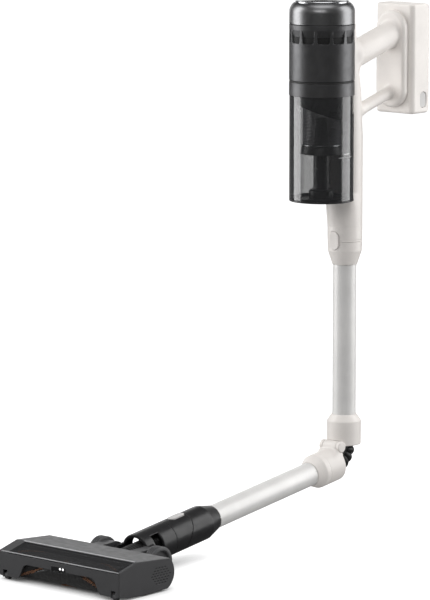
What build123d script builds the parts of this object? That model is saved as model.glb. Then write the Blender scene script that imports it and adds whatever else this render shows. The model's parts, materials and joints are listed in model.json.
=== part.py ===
"""Cordless stick vacuum, standing with its wand folded at the elbow.

Frame: millimetres, +Z up, -Y is the way the floor head is pushed, +X is to the right
for someone who looks at the front of the head, and the origin is on the floor under
the middle of the whole machine.
"""
import os
from math import cos, radians, sin

from build123d import *

os.makedirs("parts", exist_ok=True)

# ---- driving dimensions -------------------------------------------------------------
WAND_Y = 213.0            # vertical upper wand axis
CAN_Y = 162.8             # axis of the motor housing and dust cup
ELBOW_Z = 86.1            # height where the two wand axes cross
DROOP = 8.09              # slope of the lower wand below the horizontal, degrees
TUBE_R = 16.0
TUBE_WALL = 1.2
SOCKET_BORE_R = 16.3      # sliding bore round a wand tube
SOCKET_R = 23.3           # elbow sockets
CLEAR = 0.3               # gap between bodies that move past each other

CAN_R = 44.1
CUP_R = 43.5
CUP_BOTTOM = 448.0
CUP_TOP = 591.0
COLLAR_TOP = 608.6
HOUSING_BOTTOM = 611.3
HOUSING_TOP = 686.5
CAP_TOP = 716.5
OVERALL_TOP = 721.0
VENT_COUNT = 10           # five each side, none behind
VENT_PITCH = 28.3         # degrees
VENT_Z = 666.4
VENT_SIZE = (15.8, 8.7)

COLLAR_BOTTOM = 356.0
COLLAR_SPLIT = 388.3
SPINE_R = 23.7

GRIP_R = 18.0
GRIP_TILT = 16.4          # rise of the grip towards the battery, degrees
STRUT_R = 8.4
BRACKET_Y = 306.6
BRACKET_BACK = 316.6
BRACKET_SIZE = (133.0, 50.0)
BRACKET_Z = 628.5

PACK_W = 65.4
PACK_Y = (316.9, 356.8)
PACK_Z = (553.1, 704.3)
PACK_WALL = 2.0
CELL_R = 9.1
CELL_L = 65.0
PACK_BUTTON = (21.6, 13.0)
PACK_BUTTON_YZ = (341.0, 572.0)

HINGE_Y = 188.3           # fold hinge of the elbow, as far from one wand axis as the other
KNUCKLE_R = 7.6

CONN_R = 23.2
NECK_SEAM_T = 372.0
MOUTH_T = 428.0
PIVOT_Y = -222.0          # pitch hinge and rear axle of the head
PIVOT_Z = 21.0

HEAD_RIGHT = 105.0
HEAD_LEFT = -105.0
MID_LEFT = -88.0
MID_RIGHT = 101.4
FRONT_Y = -356.7
FRONT_TOP = 37.3
RIDGE_Y = -323.7
RIDGE_Z = 46.0
SHELL = 2.2
ROLLER_YZ = (-334.0, 20.0)
ROLLER_R = 19.0
MOTOR_YZ = (-285.0, 22.0)
WHEEL_R = 21.0
WHEEL_X = (41.4, 55.4)
CASTER_R = 5.0
CASTER_X = 94.0
CASTER_Y = -350.4

UP = (0, 0, 1)
SIDE = (1, 0, 0)
SLOPE_C = cos(radians(DROOP))
SLOPE_S = sin(radians(DROOP))
HINGE_T = (WAND_Y - HINGE_Y) * (1 - SLOPE_S) / SLOPE_C
HINGE_Z = ELBOW_Z + HINGE_T
DOWN_WAND = (0, -SLOPE_C, -SLOPE_S)       # from the elbow towards the head
ABOVE_WAND = (0, -SLOPE_S, SLOPE_C)
ELBOW = (0, WAND_Y, ELBOW_Z)
CAN_AXIS = (0, CAN_Y, 0)
WAND_AXIS = (0, WAND_Y, 0)
HINGE = (0, HINGE_Y, HINGE_Z)
STRAIGHTEN = 90 - DROOP                   # fold angle between the two wands


# ---- helpers, used inside a BuildPart block ---------------------------------------------
def turn(centre, direction, profile, mode=Mode.ADD):
    """Turn a closed profile of (radius, distance) points about an axis."""
    across = Vector(0, 1, 0) if abs(direction[0]) > 0.5 else Vector(1, 0, 0)
    with BuildSketch(Plane(centre, x_dir=across, z_dir=across.cross(Vector(direction)))) as section:
        with BuildLine():
            Polyline(*profile, close=True)
        make_face()
    revolve(section.sketch, axis=Axis(centre, direction), mode=mode)


def rod(start, direction, radius, length, mode=Mode.ADD):
    """Round bar from a point along a direction."""
    with BuildSketch(Plane(start, z_dir=direction)) as section:
        Circle(radius)
    extrude(section.sketch, amount=length, mode=mode)


def tube(start, direction, outer, inner, length, mode=Mode.ADD):
    """Round tube from a point along a direction."""
    with BuildSketch(Plane(start, z_dir=direction)) as section:
        Circle(outer)
        Circle(inner, mode=Mode.SUBTRACT)
    extrude(section.sketch, amount=length, mode=mode)


def prism(outline, x_from, x_to, mode=Mode.ADD):
    """Extrude a (y, z) outline sideways between two x values."""
    with BuildSketch(Plane((x_from, 0, 0), x_dir=(0, 1, 0), z_dir=SIDE)) as section:
        with BuildLine():
            Polyline(*outline, close=True)
        make_face()
    extrude(section.sketch, amount=x_to - x_from, mode=mode)


def block(x, y, z, mode=Mode.ADD):
    """Box between two corners, each axis given as (low, high)."""
    with Locations(((x[0] + x[1]) / 2, (y[0] + y[1]) / 2, (z[0] + z[1]) / 2)):
        Box(x[1] - x[0], y[1] - y[0], z[1] - z[0], mode=mode)


def along_wand(distance, height=0.0, x=0.0):
    """Point beside the lower wand axis, at a distance from the elbow."""
    return (
        x,
        WAND_Y - distance * SLOPE_C - height * SLOPE_S,
        ELBOW_Z - distance * SLOPE_S + height * SLOPE_C,
    )


def facing(angle, height, centre_y):
    """Plane on a vertical axis that looks outwards; angle 0 is the front (-Y)."""
    turn_by = radians(angle)
    return Plane(
        (0, centre_y, height),
        x_dir=(cos(turn_by), sin(turn_by), 0),
        z_dir=(sin(turn_by), -cos(turn_by), 0),
    )


def ring(start_r, end_r, low, high):
    """Rectangular ring section as a profile for turn()."""
    return [(start_r, low), (end_r, low), (end_r, high), (start_r, high)]


def keep(piece, label):
    """Name a finished piece and write it out."""
    piece.part.label = label
    export_step(piece.part, f"parts/{label}.step")


# ---- spine, collar and handle ------------------------------------------------------------
SPINE_PROFILE = [
    (0, COLLAR_SPLIT), (SPINE_R, COLLAR_SPLIT), (SPINE_R, 530), (22.6, 556),
    (21.5, 587), (18.0, 624), (15.0, 662), (13.2, 682), (10.5, 688), (6.0, 690.5), (0, 691),
]
DUCT_Y = 221.0
DUCT_R = 11.5
DUCT_TOP = 590.0
INLET_Z = 576.0
SOCKET_TOP = 430.0
BUTTON_Z = 390.0
BUTTON_SIZE = (25.4, 15.4)
BUTTON_FACE_Y = 189.0
BUTTON_POCKET_Y = 195.2

LEDGE_Z = 410.0           # the spine leans forward from here up to the underside of the cup
LEDGE_Y = 208.5

with BuildPart() as spine_shell:
    turn(WAND_AXIS, UP, SPINE_PROFILE)
    with BuildSketch(Plane((0, WAND_Y, LEDGE_Z))):
        Circle(SPINE_R - 0.1)
    with BuildSketch(Plane((0, LEDGE_Y, CUP_BOTTOM - CLEAR))):
        Circle(SPINE_R)
    loft()
    rod((0, CAN_Y, CUP_BOTTOM - CLEAR), UP, CAN_R + CLEAR, 260, mode=Mode.SUBTRACT)
    rod((0, WAND_Y, COLLAR_SPLIT - 1), UP, SOCKET_BORE_R, SOCKET_TOP - COLLAR_SPLIT + 1, mode=Mode.SUBTRACT)
    rod((0, WAND_Y + 4, SOCKET_TOP - 4), UP, DUCT_R, 26, mode=Mode.SUBTRACT)
    rod((0, DUCT_Y, SOCKET_TOP + 10), UP, DUCT_R, DUCT_TOP - SOCKET_TOP - 10, mode=Mode.SUBTRACT)
    rod((0, DUCT_Y, INLET_Z), (0, -1, 0), DUCT_R - 1.5, 30, mode=Mode.SUBTRACT)
    with BuildSketch(Plane.XZ.offset(-BUTTON_POCKET_Y)):
        with Locations((0, BUTTON_Z)):
            SlotOverall(BUTTON_SIZE[0] + 0.6, BUTTON_SIZE[1] + 0.6, rotation=90)
    extrude(amount=12, mode=Mode.SUBTRACT)
keep(spine_shell, "spine_shell")

with BuildPart() as wand_collar:
    turn(WAND_AXIS, UP, [
        (SOCKET_BORE_R, COLLAR_BOTTOM), (16.9, COLLAR_BOTTOM), (23.2, 375), (23.6, COLLAR_SPLIT),
        (SOCKET_BORE_R, COLLAR_SPLIT),
    ])
    with BuildSketch(Plane.XZ.offset(-BUTTON_POCKET_Y)):
        with Locations((0, BUTTON_Z)):
            SlotOverall(BUTTON_SIZE[0] + 0.6, BUTTON_SIZE[1] + 0.6, rotation=90)
    extrude(amount=12, mode=Mode.SUBTRACT)
keep(wand_collar, "wand_collar")

with BuildPart() as wand_release_button:
    with BuildSketch(Plane.XZ.offset(-BUTTON_FACE_Y)):
        with Locations((0, BUTTON_Z)):
            SlotOverall(BUTTON_SIZE[0], BUTTON_SIZE[1], rotation=90)
    extrude(amount=-3.8)
    fillet(wand_release_button.faces().sort_by(Axis.Y)[0].edges(), radius=0.8)
keep(wand_release_button, "wand_release_button")

grip_run = Vector(0, cos(radians(GRIP_TILT)), sin(radians(GRIP_TILT)))
with BuildPart() as handle_grip:
    rod((0, 222.0, 637.2), grip_run, GRIP_R, 94)
    add(spine_shell.part, mode=Mode.SUBTRACT)
    block((-30, 30), (150, 226), (600, 700), mode=Mode.SUBTRACT)
    block((-30, 30), (BRACKET_Y, 330), (600, 700), mode=Mode.SUBTRACT)
keep(handle_grip, "handle_grip")

STRUT_START = Vector(0, 228, 559.8)
with BuildPart() as lower_strut:
    with BuildSketch(Plane(STRUT_START, z_dir=grip_run)):
        Circle(STRUT_R + 2.6)
    with BuildSketch(Plane(STRUT_START + grip_run * 26, z_dir=grip_run)):
        Circle(STRUT_R)
    loft()
    rod(STRUT_START + grip_run * 26, grip_run, STRUT_R, 64)
    add(spine_shell.part, mode=Mode.SUBTRACT)
    block((-30, 30), (150, 232.5), (500, 600), mode=Mode.SUBTRACT)
    block((-30, 30), (BRACKET_Y, 330), (500, 620), mode=Mode.SUBTRACT)
keep(lower_strut, "lower_strut")

TONGUE = ((-16, 16), (BRACKET_BACK, 324.0), (600, 660))
with BuildPart() as battery_bracket:
    with BuildSketch(Plane.XZ.offset(-BRACKET_BACK)):
        with Locations((0, BRACKET_Z)):
            SlotOverall(BRACKET_SIZE[0], BRACKET_SIZE[1], rotation=90)
    extrude(amount=BRACKET_BACK - BRACKET_Y)
    fillet(battery_bracket.faces().sort_by(Axis.Y)[0].edges(), radius=5)
    block(*TONGUE)
keep(battery_bracket, "battery_bracket")

# ---- battery pack -------------------------------------------------------------------------
JACK_Y = 324.5
JACK_R = 2.75
JACK_DEPTH = 10.0
with BuildPart() as battery_case:
    block((-PACK_W / 2, PACK_W / 2), PACK_Y, PACK_Z)
    fillet(battery_case.edges().filter_by(Axis.Z), radius=7)
    fillet(battery_case.faces().sort_by(Axis.Z)[-1].edges(), radius=4)
    fillet(battery_case.faces().sort_by(Axis.Z)[0].edges(), radius=4)
    block(
        (-PACK_W / 2 + PACK_WALL, PACK_W / 2 - PACK_WALL),
        (PACK_Y[0] + PACK_WALL, PACK_Y[1] - PACK_WALL),
        (PACK_Z[0] + PACK_WALL, PACK_Z[1] - PACK_WALL),
        mode=Mode.SUBTRACT,
    )
    block((-18, 18), (PACK_Y[0] + 1, 326.4), (598, 662))
    block((-16.4, 16.4), (310, 324.4), (599.6, 660.4), mode=Mode.SUBTRACT)
    rod((0, JACK_Y, PACK_Z[0] + 1), UP, JACK_R + 2.2, JACK_DEPTH + 1)
    rod((0, JACK_Y, PACK_Z[0] - 1), UP, JACK_R, JACK_DEPTH + 1, mode=Mode.SUBTRACT)
    with BuildSketch(Plane((-50, 0, 0), x_dir=(0, 1, 0), z_dir=SIDE)):
        with Locations(PACK_BUTTON_YZ):
            SlotOverall(PACK_BUTTON[0] + 0.6, PACK_BUTTON[1] + 0.6, rotation=90)
    extrude(amount=100, mode=Mode.SUBTRACT)
keep(battery_case, "battery_case")

with BuildPart() as battery_cells:
    for tier in (559.0, 559.0 + CELL_L + 2.0):
        for cell_x in (-19.0, 0.0, 19.0):
            rod((cell_x, 343.5, tier), UP, CELL_R, CELL_L)
keep(battery_cells, "battery_cells")

for side, label in ((1, "battery_button_right"), (-1, "battery_button_left")):
    with BuildPart() as battery_button:
        with BuildSketch(Plane((side * 30.0, 0, 0), x_dir=(0, 1, 0), z_dir=SIDE)):
            with Locations(PACK_BUTTON_YZ):
                SlotOverall(*PACK_BUTTON, rotation=90)
        extrude(amount=side * 1.9)
        fillet(battery_button.faces().sort_by(Axis.X)[-1 if side > 0 else 0].edges(), radius=0.6)
    keep(battery_button, label)

# ---- motor housing --------------------------------------------------------------------------
HOUSING_WALL = 2.4
MOTOR_DECK_Z = 634.0
with BuildPart() as motor_housing:
    turn(CAN_AXIS, UP, ring(CAN_R - HOUSING_WALL, CAN_R, HOUSING_BOTTOM, HOUSING_TOP))
    turn(CAN_AXIS, UP, ring(20, CAN_R - 1, MOTOR_DECK_Z, MOTOR_DECK_Z + 2.4))
    for index in range(VENT_COUNT):
        vent_angle = (index + 0.5 - VENT_COUNT / 2) * VENT_PITCH
        with BuildSketch(facing(vent_angle, VENT_Z, CAN_Y)):
            RectangleRounded(*VENT_SIZE, radius=2.4)
        extrude(amount=CAN_R + 5, mode=Mode.SUBTRACT)
keep(motor_housing, "motor_housing")

with BuildPart() as pre_motor_filter:
    turn(CAN_AXIS, UP, ring(0, 39, HOUSING_BOTTOM + 3, HOUSING_BOTTOM + 17))
    turn(CAN_AXIS, UP, ring(39, CAN_R - HOUSING_WALL, HOUSING_BOTTOM + 3, HOUSING_BOTTOM + 7))
keep(pre_motor_filter, "pre_motor_filter")

with BuildPart() as exhaust_filter:
    turn(CAN_AXIS, UP, ring(35, CAN_R - HOUSING_WALL - 0.1, 651, 683))
keep(exhaust_filter, "exhaust_filter")

with BuildPart() as motor_stator:
    turn(CAN_AXIS, UP, ring(13, 26, MOTOR_DECK_Z + 2.4, 672))
    turn(CAN_AXIS, UP, ring(26, 34.5, MOTOR_DECK_Z + 2.4, 641))
keep(motor_stator, "motor_stator")

with BuildPart() as motor_bearings:
    turn(CAN_AXIS, UP, ring(2.05, 13, 648, 652))
    turn(CAN_AXIS, UP, ring(2.05, 13, 666, 670))
keep(motor_bearings, "motor_bearings")

with BuildPart() as motor_shaft:
    turn(CAN_AXIS, UP, ring(0, 2.0, 631, 671))
    turn(CAN_AXIS, UP, ring(2.0, 11.5, 653, 665))
keep(motor_shaft, "motor_shaft")

with BuildPart() as impeller:
    turn(CAN_AXIS, UP, [(2.0, 632), (19.0, 632), (19.0, 633.2), (6.0, 637), (5.0, 645), (2.0, 645)])
keep(impeller, "impeller")

with BuildPart() as motor_cap:
    with BuildSketch(Plane.XZ.offset(-CAN_Y)):
        with BuildLine():
            Line((0, CAP_TOP), (32.1, CAP_TOP))
            ThreePointArc((32.1, CAP_TOP), (40.8, 712.3), (CAN_R, 702.5))
            Polyline((CAN_R, 702.5), (CAN_R, HOUSING_TOP), (CAN_R - HOUSING_WALL, HOUSING_TOP),
                     (CAN_R - HOUSING_WALL, 700), (38, 711), (0, 712.6), (0, CAP_TOP))
        make_face()
    revolve(axis=Axis(CAN_AXIS, UP))
    turn(CAN_AXIS, UP, ring(31.2, 36.4, 714.9, 722), mode=Mode.SUBTRACT)
    turn(CAN_AXIS, UP, ring(0, 31.3, 715.4, 722), mode=Mode.SUBTRACT)
    rod((0, CAN_Y, 700), UP, 9.4, 30, mode=Mode.SUBTRACT)
keep(motor_cap, "motor_cap")

with BuildPart() as top_trim_ring:
    turn(CAN_AXIS, UP, [(34.0, 714.9), (36.4, 714.9), (36.4, 717.2), (35.6, 718.0), (34.0, 718.0)])
keep(top_trim_ring, "top_trim_ring")

with BuildPart() as display_lens:
    with BuildSketch(Plane.XZ.offset(-CAN_Y)):
        with BuildLine():
            ThreePointArc((33.9, 717.4), (22.0, 718.9), (9.4, 719.6))
            Polyline((9.4, 719.6), (9.4, 715.4), (33.9, 715.4), (33.9, 717.4))
        make_face()
    revolve(axis=Axis(CAN_AXIS, UP))
keep(display_lens, "display_lens")

with BuildPart() as power_button:
    turn(CAN_AXIS, UP, ring(0, 9.0, 717.0, OVERALL_TOP))
    fillet(power_button.faces().sort_by(Axis.Z)[-1].edges(), radius=1.0)
keep(power_button, "power_button")

with BuildPart() as control_board:
    turn(CAN_AXIS, UP, ring(0, 33, 703, 704.6))
    for peg_x in (-14, 14):
        rod((peg_x, CAN_Y, 704.6), UP, 3, 6)
keep(control_board, "control_board")

# ---- dust cup -----------------------------------------------------------------------------------
CUP_WALL = 2.0
with BuildPart() as dust_cup:
    turn(CAN_AXIS, UP, ring(CUP_R - CUP_WALL, CUP_R, CUP_BOTTOM + 2.4, CUP_TOP))
    rod((0, CAN_Y, INLET_Z), (0, 1, 0), DUCT_R - 1.5, 60, mode=Mode.SUBTRACT)
keep(dust_cup, "dust_cup")

with BuildPart() as cup_base:
    turn(CAN_AXIS, UP, ring(0, CUP_R, CUP_BOTTOM, CUP_BOTTOM + 2.4))
    turn(CAN_AXIS, UP, ring(38, CUP_R - CUP_WALL - 0.1, CUP_BOTTOM + 2.4, CUP_BOTTOM + 5.5))
keep(cup_base, "cup_base")

RELEASE_Z = 599.5
with BuildPart() as cup_collar:
    turn(CAN_AXIS, UP, ring(CAN_R - 3, CAN_R, CUP_TOP, COLLAR_TOP))
    turn(CAN_AXIS, UP, ring(22, CAN_R - 1, COLLAR_TOP - 3.4, COLLAR_TOP))
    with BuildSketch(facing(-90, RELEASE_Z, CAN_Y)):
        SlotOverall(18.6, 9.6)
    extrude(amount=CAN_R + 5, mode=Mode.SUBTRACT)
keep(cup_collar, "cup_collar")

with BuildPart() as cup_release_button:
    with BuildSketch(facing(-90, RELEASE_Z, CAN_Y).offset(CAN_R - 3.4)):
        SlotOverall(18.0, 9.0)
    extrude(amount=3.6)
keep(cup_release_button, "cup_release_button")

with BuildPart() as cup_seal:
    turn(CAN_AXIS, UP, ring(37, CAN_R - 1.4, COLLAR_TOP, HOUSING_BOTTOM - CLEAR))
keep(cup_seal, "cup_seal")

SHROUD_R = 35.5
with BuildPart() as cyclone_shroud:
    turn(CAN_AXIS, UP, ring(SHROUD_R - 2.4, SHROUD_R, 540, COLLAR_TOP - 3.4))
    rim_across = Vector(cos(radians(41)), sin(radians(41)), -0.34)
    rim_plane = Plane((0, CAN_Y, 567), x_dir=rim_across, z_dir=rim_across.cross(Vector(-0.66, 0.75, 0)))
    with BuildSketch(rim_plane):
        Circle(60)
    extrude(amount=-60, mode=Mode.SUBTRACT)
keep(cyclone_shroud, "cyclone_shroud")

with BuildPart() as mesh_screen:
    turn(CAN_AXIS, UP, ring(24.3, 25.5, 523.5, COLLAR_TOP - 3.4))
keep(mesh_screen, "mesh_screen")

with BuildPart() as shroud_skirt:
    turn(CAN_AXIS, UP, [(11.0, 520.5), (24.5, 520.5), (28.4, 511.8), (30.0, 511.8), (26.6, 521.5), (26.6, 523.5),
                        (11.0, 523.5)])
keep(shroud_skirt, "shroud_skirt")

with BuildPart() as cyclone_stem:
    turn(CAN_AXIS, UP, [(0, CUP_BOTTOM + 2.4), (17, CUP_BOTTOM + 2.4), (17, 461.5), (15, 463.5), (10.9, 463.5),
                        (10.9, 523.5), (7.0, 560), (0, 560)])
keep(cyclone_stem, "cyclone_stem")

# ---- upper wand and elbow --------------------------------------------------------------------------
UPPER_TUBE_END = 118.0
LOWER_TUBE_START = 33.0
FACE_GAP = 0.2
with BuildPart() as upper_tube:
    tube((0, WAND_Y, UPPER_TUBE_END), UP, TUBE_R, TUBE_R - TUBE_WALL, 307)
keep(upper_tube, "upper_tube")

EAR_X = (11.5, 17.5)
with BuildPart() as upper_socket:
    turn(WAND_AXIS, UP, [
        (17.2, HINGE_Z + FACE_GAP), (SOCKET_R, HINGE_Z + FACE_GAP), (SOCKET_R, 140.5), (16.9, 149.6),
        (TUBE_R, 149.6), (TUBE_R, UPPER_TUBE_END), (17.2, UPPER_TUBE_END),
    ])
    rod((-EAR_X[0], HINGE_Y, HINGE_Z), SIDE, KNUCKLE_R + CLEAR, 2 * EAR_X[0], mode=Mode.SUBTRACT)
    for side in (-1, 1):
        rod((side * EAR_X[0], HINGE_Y, HINGE_Z), (side, 0, 0), KNUCKLE_R, EAR_X[1] - EAR_X[0])
        rod((side * EAR_X[0], HINGE_Y, HINGE_Z), (side, 0, 0), 2.5, 12, mode=Mode.SUBTRACT)
keep(upper_socket, "upper_socket")

with BuildPart() as elbow_pin:
    rod((-EAR_X[1] + 0.5, HINGE_Y, HINGE_Z), SIDE, 2.5, 2 * EAR_X[1] - 1)
keep(elbow_pin, "elbow_pin")

with BuildPart() as lower_socket:
    turn(ELBOW, DOWN_WAND, [
        (17.2, HINGE_T + FACE_GAP), (SOCKET_R, HINGE_T + FACE_GAP), (SOCKET_R, 62), (16.9, 75),
        (TUBE_R, 75), (TUBE_R, LOWER_TUBE_START), (17.2, LOWER_TUBE_START),
    ])
    for side in (-1, 1):
        rod((side * (EAR_X[0] - 0.3), HINGE_Y, HINGE_Z), (side, 0, 0), KNUCKLE_R + CLEAR, 12, mode=Mode.SUBTRACT)
    rod((-EAR_X[0] + CLEAR, HINGE_Y, HINGE_Z), SIDE, KNUCKLE_R, 2 * (EAR_X[0] - CLEAR))
    rod((-20, HINGE_Y, HINGE_Z), SIDE, 2.56, 40, mode=Mode.SUBTRACT)
keep(lower_socket, "lower_socket")

ELBOW_HOSE_R = 15.0
ELBOW_HOSE_REACH = 10.0
with BuildPart() as elbow_hose:
    with BuildSketch(Plane((0, WAND_Y, HINGE_Z))) as hose_section:
        Circle(ELBOW_HOSE_R)
        Circle(ELBOW_HOSE_R - 1.6, mode=Mode.SUBTRACT)
    revolve(hose_section.sketch, axis=Axis(HINGE, (-1, 0, 0)), revolution_arc=STRAIGHTEN)
    tube((0, WAND_Y, HINGE_Z), UP, ELBOW_HOSE_R, ELBOW_HOSE_R - 1.6, ELBOW_HOSE_REACH)
    tube(along_wand(HINGE_T), DOWN_WAND, ELBOW_HOSE_R, ELBOW_HOSE_R - 1.6, ELBOW_HOSE_REACH)
keep(elbow_hose, "elbow_hose")

with BuildPart() as lower_tube:
    tube(along_wand(LOWER_TUBE_START), DOWN_WAND, TUBE_R, TUBE_R - TUBE_WALL, 297)
keep(lower_tube, "lower_tube")

# ---- connector and neck ------------------------------------------------------------------------------
SLEEVE_BORE_R = 20.0
SEAM_T = 343.0
SEAM_LEAN = 0.55
CONN_BUTTON_T = 346.0
CONN_BUTTON = (27.0, 11.6)
seam_plane = Plane(
    along_wand(SEAM_T),
    x_dir=SIDE,
    z_dir=Vector(DOWN_WAND) + Vector(ABOVE_WAND) * SEAM_LEAN,
)

with BuildPart() as connector_collar:
    turn(ELBOW, DOWN_WAND, [(SOCKET_BORE_R, 277), (16.9, 277), (CONN_R, 300), (CONN_R, 360), (SOCKET_BORE_R, 360)])
    split(bisect_by=seam_plane, keep=Keep.BOTTOM)
keep(connector_collar, "connector_collar")

with BuildPart() as connector_sleeve:
    turn(ELBOW, DOWN_WAND, ring(SLEEVE_BORE_R, CONN_R, 325, NECK_SEAM_T))
    split(bisect_by=seam_plane, keep=Keep.TOP)
    with BuildSketch(Plane(along_wand(CONN_BUTTON_T, 17), x_dir=DOWN_WAND, z_dir=ABOVE_WAND)):
        SlotOverall(CONN_BUTTON[0] + 0.6, CONN_BUTTON[1] + 0.6)
    extrude(amount=12, mode=Mode.SUBTRACT)
keep(connector_sleeve, "connector_sleeve")

with BuildPart() as connector_button:
    with BuildSketch(Plane(along_wand(CONN_BUTTON_T, 20.4), x_dir=DOWN_WAND, z_dir=ABOVE_WAND)):
        SlotOverall(*CONN_BUTTON)
    extrude(amount=3.4)
keep(connector_button, "connector_button")

FORK_BORE_R = 19.0
ARM_X = (18.6, 23.0)
ARM_R = 12.6
STUB_R = 4.0
with BuildPart() as neck_fork:
    turn(ELBOW, DOWN_WAND, ring(FORK_BORE_R, CONN_R, NECK_SEAM_T + 0.4, MOUTH_T))
    turn(ELBOW, DOWN_WAND, ring(17.6, SLEEVE_BORE_R - 0.08, 361, NECK_SEAM_T + 1.4))
    for side in (-1, 1):
        for step in range(5):
            lean = radians(side * (46 + 10 * step))
            slot_out = Vector(sin(lean), 0, 0) + Vector(ABOVE_WAND) * cos(lean)
            with BuildSketch(Plane(along_wand(404.7), x_dir=DOWN_WAND, z_dir=slot_out)):
                Rectangle(14.5, 6.0)
            extrude(amount=30, mode=Mode.SUBTRACT)
        rod((side * ARM_X[0], PIVOT_Y, PIVOT_Z), (side, 0, 0), ARM_R, ARM_X[1] - ARM_X[0])
        arm_root = [along_wand(418, 9.0), along_wand(418, -13.4), (0, PIVOT_Y, PIVOT_Z - ARM_R),
                    (0, PIVOT_Y, PIVOT_Z + ARM_R)]
        arm_outline = [(point[1], point[2]) for point in arm_root]
        prism(arm_outline, min(side * ARM_X[0], side * ARM_X[1]), max(side * ARM_X[0], side * ARM_X[1]))
        rod((side * ARM_X[0], PIVOT_Y, PIVOT_Z), (side, 0, 0), STUB_R, 29.6 - ARM_X[0])
keep(neck_fork, "neck_fork")

HOSE_R = 12.0
with BuildPart() as neck_hose:
    tube(along_wand(386), DOWN_WAND, HOSE_R, HOSE_R - 1.6, 80)
keep(neck_hose, "neck_hose")

# ---- floor head ------------------------------------------------------------------------------------------
BACK_TOP = (-262.4, 41.6)
BACK_MID = (-253.0, 25.0)
BACK_LOW = (-257.5, 9.3)
BRACKET_R = 17.0
DUCT_HOLE_R = 14.4


def head_section(shrink=0.0):
    """Side outline of the head, in (y, z), shrunk evenly by a wall thickness."""
    with BuildSketch(Plane.YZ) as section:
        with BuildLine():
            Polyline((FRONT_Y, 6.0), (FRONT_Y, FRONT_TOP), (RIDGE_Y, RIDGE_Z), BACK_TOP)
            ThreePointArc(BACK_TOP, BACK_MID, BACK_LOW)
            Polyline(BACK_LOW, (-265.0, 2.6), (-306.0, 1.2), (-339.0, 2.4), (-354.8, 4.9), (FRONT_Y, 6.0))
        make_face()
        if shrink:
            offset(amount=-shrink, kind=Kind.INTERSECTION, mode=Mode.REPLACE)
    return section.sketch


def head_prism(shrink, x_from, x_to, mode=Mode.ADD):
    """The head's section, extruded between two x values."""
    extrude(head_section(shrink).moved(Location((x_from, 0, 0))), amount=x_to - x_from, mode=mode)


def wheel_bracket(side, grow=0.0, mode=Mode.ADD):
    """Cheek from the back of the head round the rear axle."""
    low, high = sorted((side * (24.3 - grow), side * (40.9 + grow)))
    prism([(-268 - grow, 3.0), (PIVOT_Y, PIVOT_Z - BRACKET_R), (PIVOT_Y, PIVOT_Z + BRACKET_R),
           (-260, 37 + grow), (-268 - grow, 36 + grow)], low, high, mode)
    rod((low, PIVOT_Y, PIVOT_Z), SIDE, BRACKET_R, high - low, mode)


with BuildPart() as head_chassis:
    head_prism(0, MID_LEFT, MID_RIGHT)
    head_prism(SHELL, MID_LEFT, MID_RIGHT, mode=Mode.SUBTRACT)
    block((-120, 120), (-400, -240), (9.3, 60), mode=Mode.SUBTRACT)
    block((-120, 120), (-400, -312.4), (-5, 60), mode=Mode.SUBTRACT)
    head_prism(SHELL + 0.1, MID_LEFT, MID_LEFT + 1.6)
    block((MID_LEFT, MID_RIGHT), (-312.4, -310.6), (2.6, 42.4))
    rod((0, -320, PIVOT_Z - 1), (0, 1, 0), 12.3, 20, mode=Mode.SUBTRACT)
    rod((0, -270, PIVOT_Z - 1), (0, 1, 0), DUCT_HOLE_R, 30, mode=Mode.SUBTRACT)
    for side in (-1, 1):
        wheel_bracket(side)
        rod((side * 20, PIVOT_Y, PIVOT_Z), (side, 0, 0), STUB_R + 0.06, 10.2, mode=Mode.SUBTRACT)
        rod((side * 20, PIVOT_Y, PIVOT_Z), (side, 0, 0), 3.0, 30, mode=Mode.SUBTRACT)
    rod((MID_LEFT - 1, *ROLLER_YZ), SIDE, 3.06, 5, mode=Mode.SUBTRACT)
    rod((MID_LEFT - 1, *MOTOR_YZ), SIDE, 2.2, 5, mode=Mode.SUBTRACT)
keep(head_chassis, "head_chassis")

with BuildPart() as head_top_cover:
    head_prism(0, MID_LEFT, MID_RIGHT)
    head_prism(SHELL, MID_LEFT, MID_RIGHT, mode=Mode.SUBTRACT)
    block((-120, 120), (-400, RIDGE_Y), (-5, 60), mode=Mode.SUBTRACT)
    block((-120, 120), (-400, -240), (-5, 9.3), mode=Mode.SUBTRACT)
    rod((0, -270, PIVOT_Z - 1), (0, 1, 0), DUCT_HOLE_R, 30, mode=Mode.SUBTRACT)
    for side in (-1, 1):
        wheel_bracket(side, grow=0.1, mode=Mode.SUBTRACT)
keep(head_top_cover, "head_top_cover")

with BuildPart() as roller_window:
    prism([(FRONT_Y, FRONT_TOP), (RIDGE_Y, RIDGE_Z), (RIDGE_Y, RIDGE_Z - SHELL), (FRONT_Y, FRONT_TOP - SHELL)],
          MID_LEFT, MID_RIGHT)
keep(roller_window, "roller_window")

BUMPER_X = 103.2
BUMPER_BACK = -354.4
LAMP_X = 12.5
with BuildPart() as front_bumper:
    with BuildSketch(Plane.XZ.offset(-BUMPER_BACK)):
        with BuildLine():
            Polyline(
                (-BUMPER_X, 4.9), (-72, 4.9), (-69, 7.5), (-62, 21.5), (-57, 24.5), (57, 24.5), (62, 21.5),
                (69, 7.5), (72, 4.9), (BUMPER_X, 4.9), (BUMPER_X, FRONT_TOP - SHELL), (-BUMPER_X, FRONT_TOP - SHELL),
                close=True,
            )
        make_face()
    extrude(amount=BUMPER_BACK - FRONT_Y)
    block((-LAMP_X, LAMP_X), (-360, -350), (20, 30), mode=Mode.SUBTRACT)
    for side in (-1, 1):
        block(sorted((side * 90.2, side * 97.8)), (-360, -350), (0, 13), mode=Mode.SUBTRACT)
        for lug in ((88.6, 90.6), (97.4, 99.4)):
            block(sorted((side * lug[0], side * lug[1])), (BUMPER_BACK - 1, -347.2), (3.0, 8.0))
        rod((side * 80, CASTER_Y, CASTER_R), (side, 0, 0), 1.26, 30, mode=Mode.SUBTRACT)
keep(front_bumper, "front_bumper")

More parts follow.
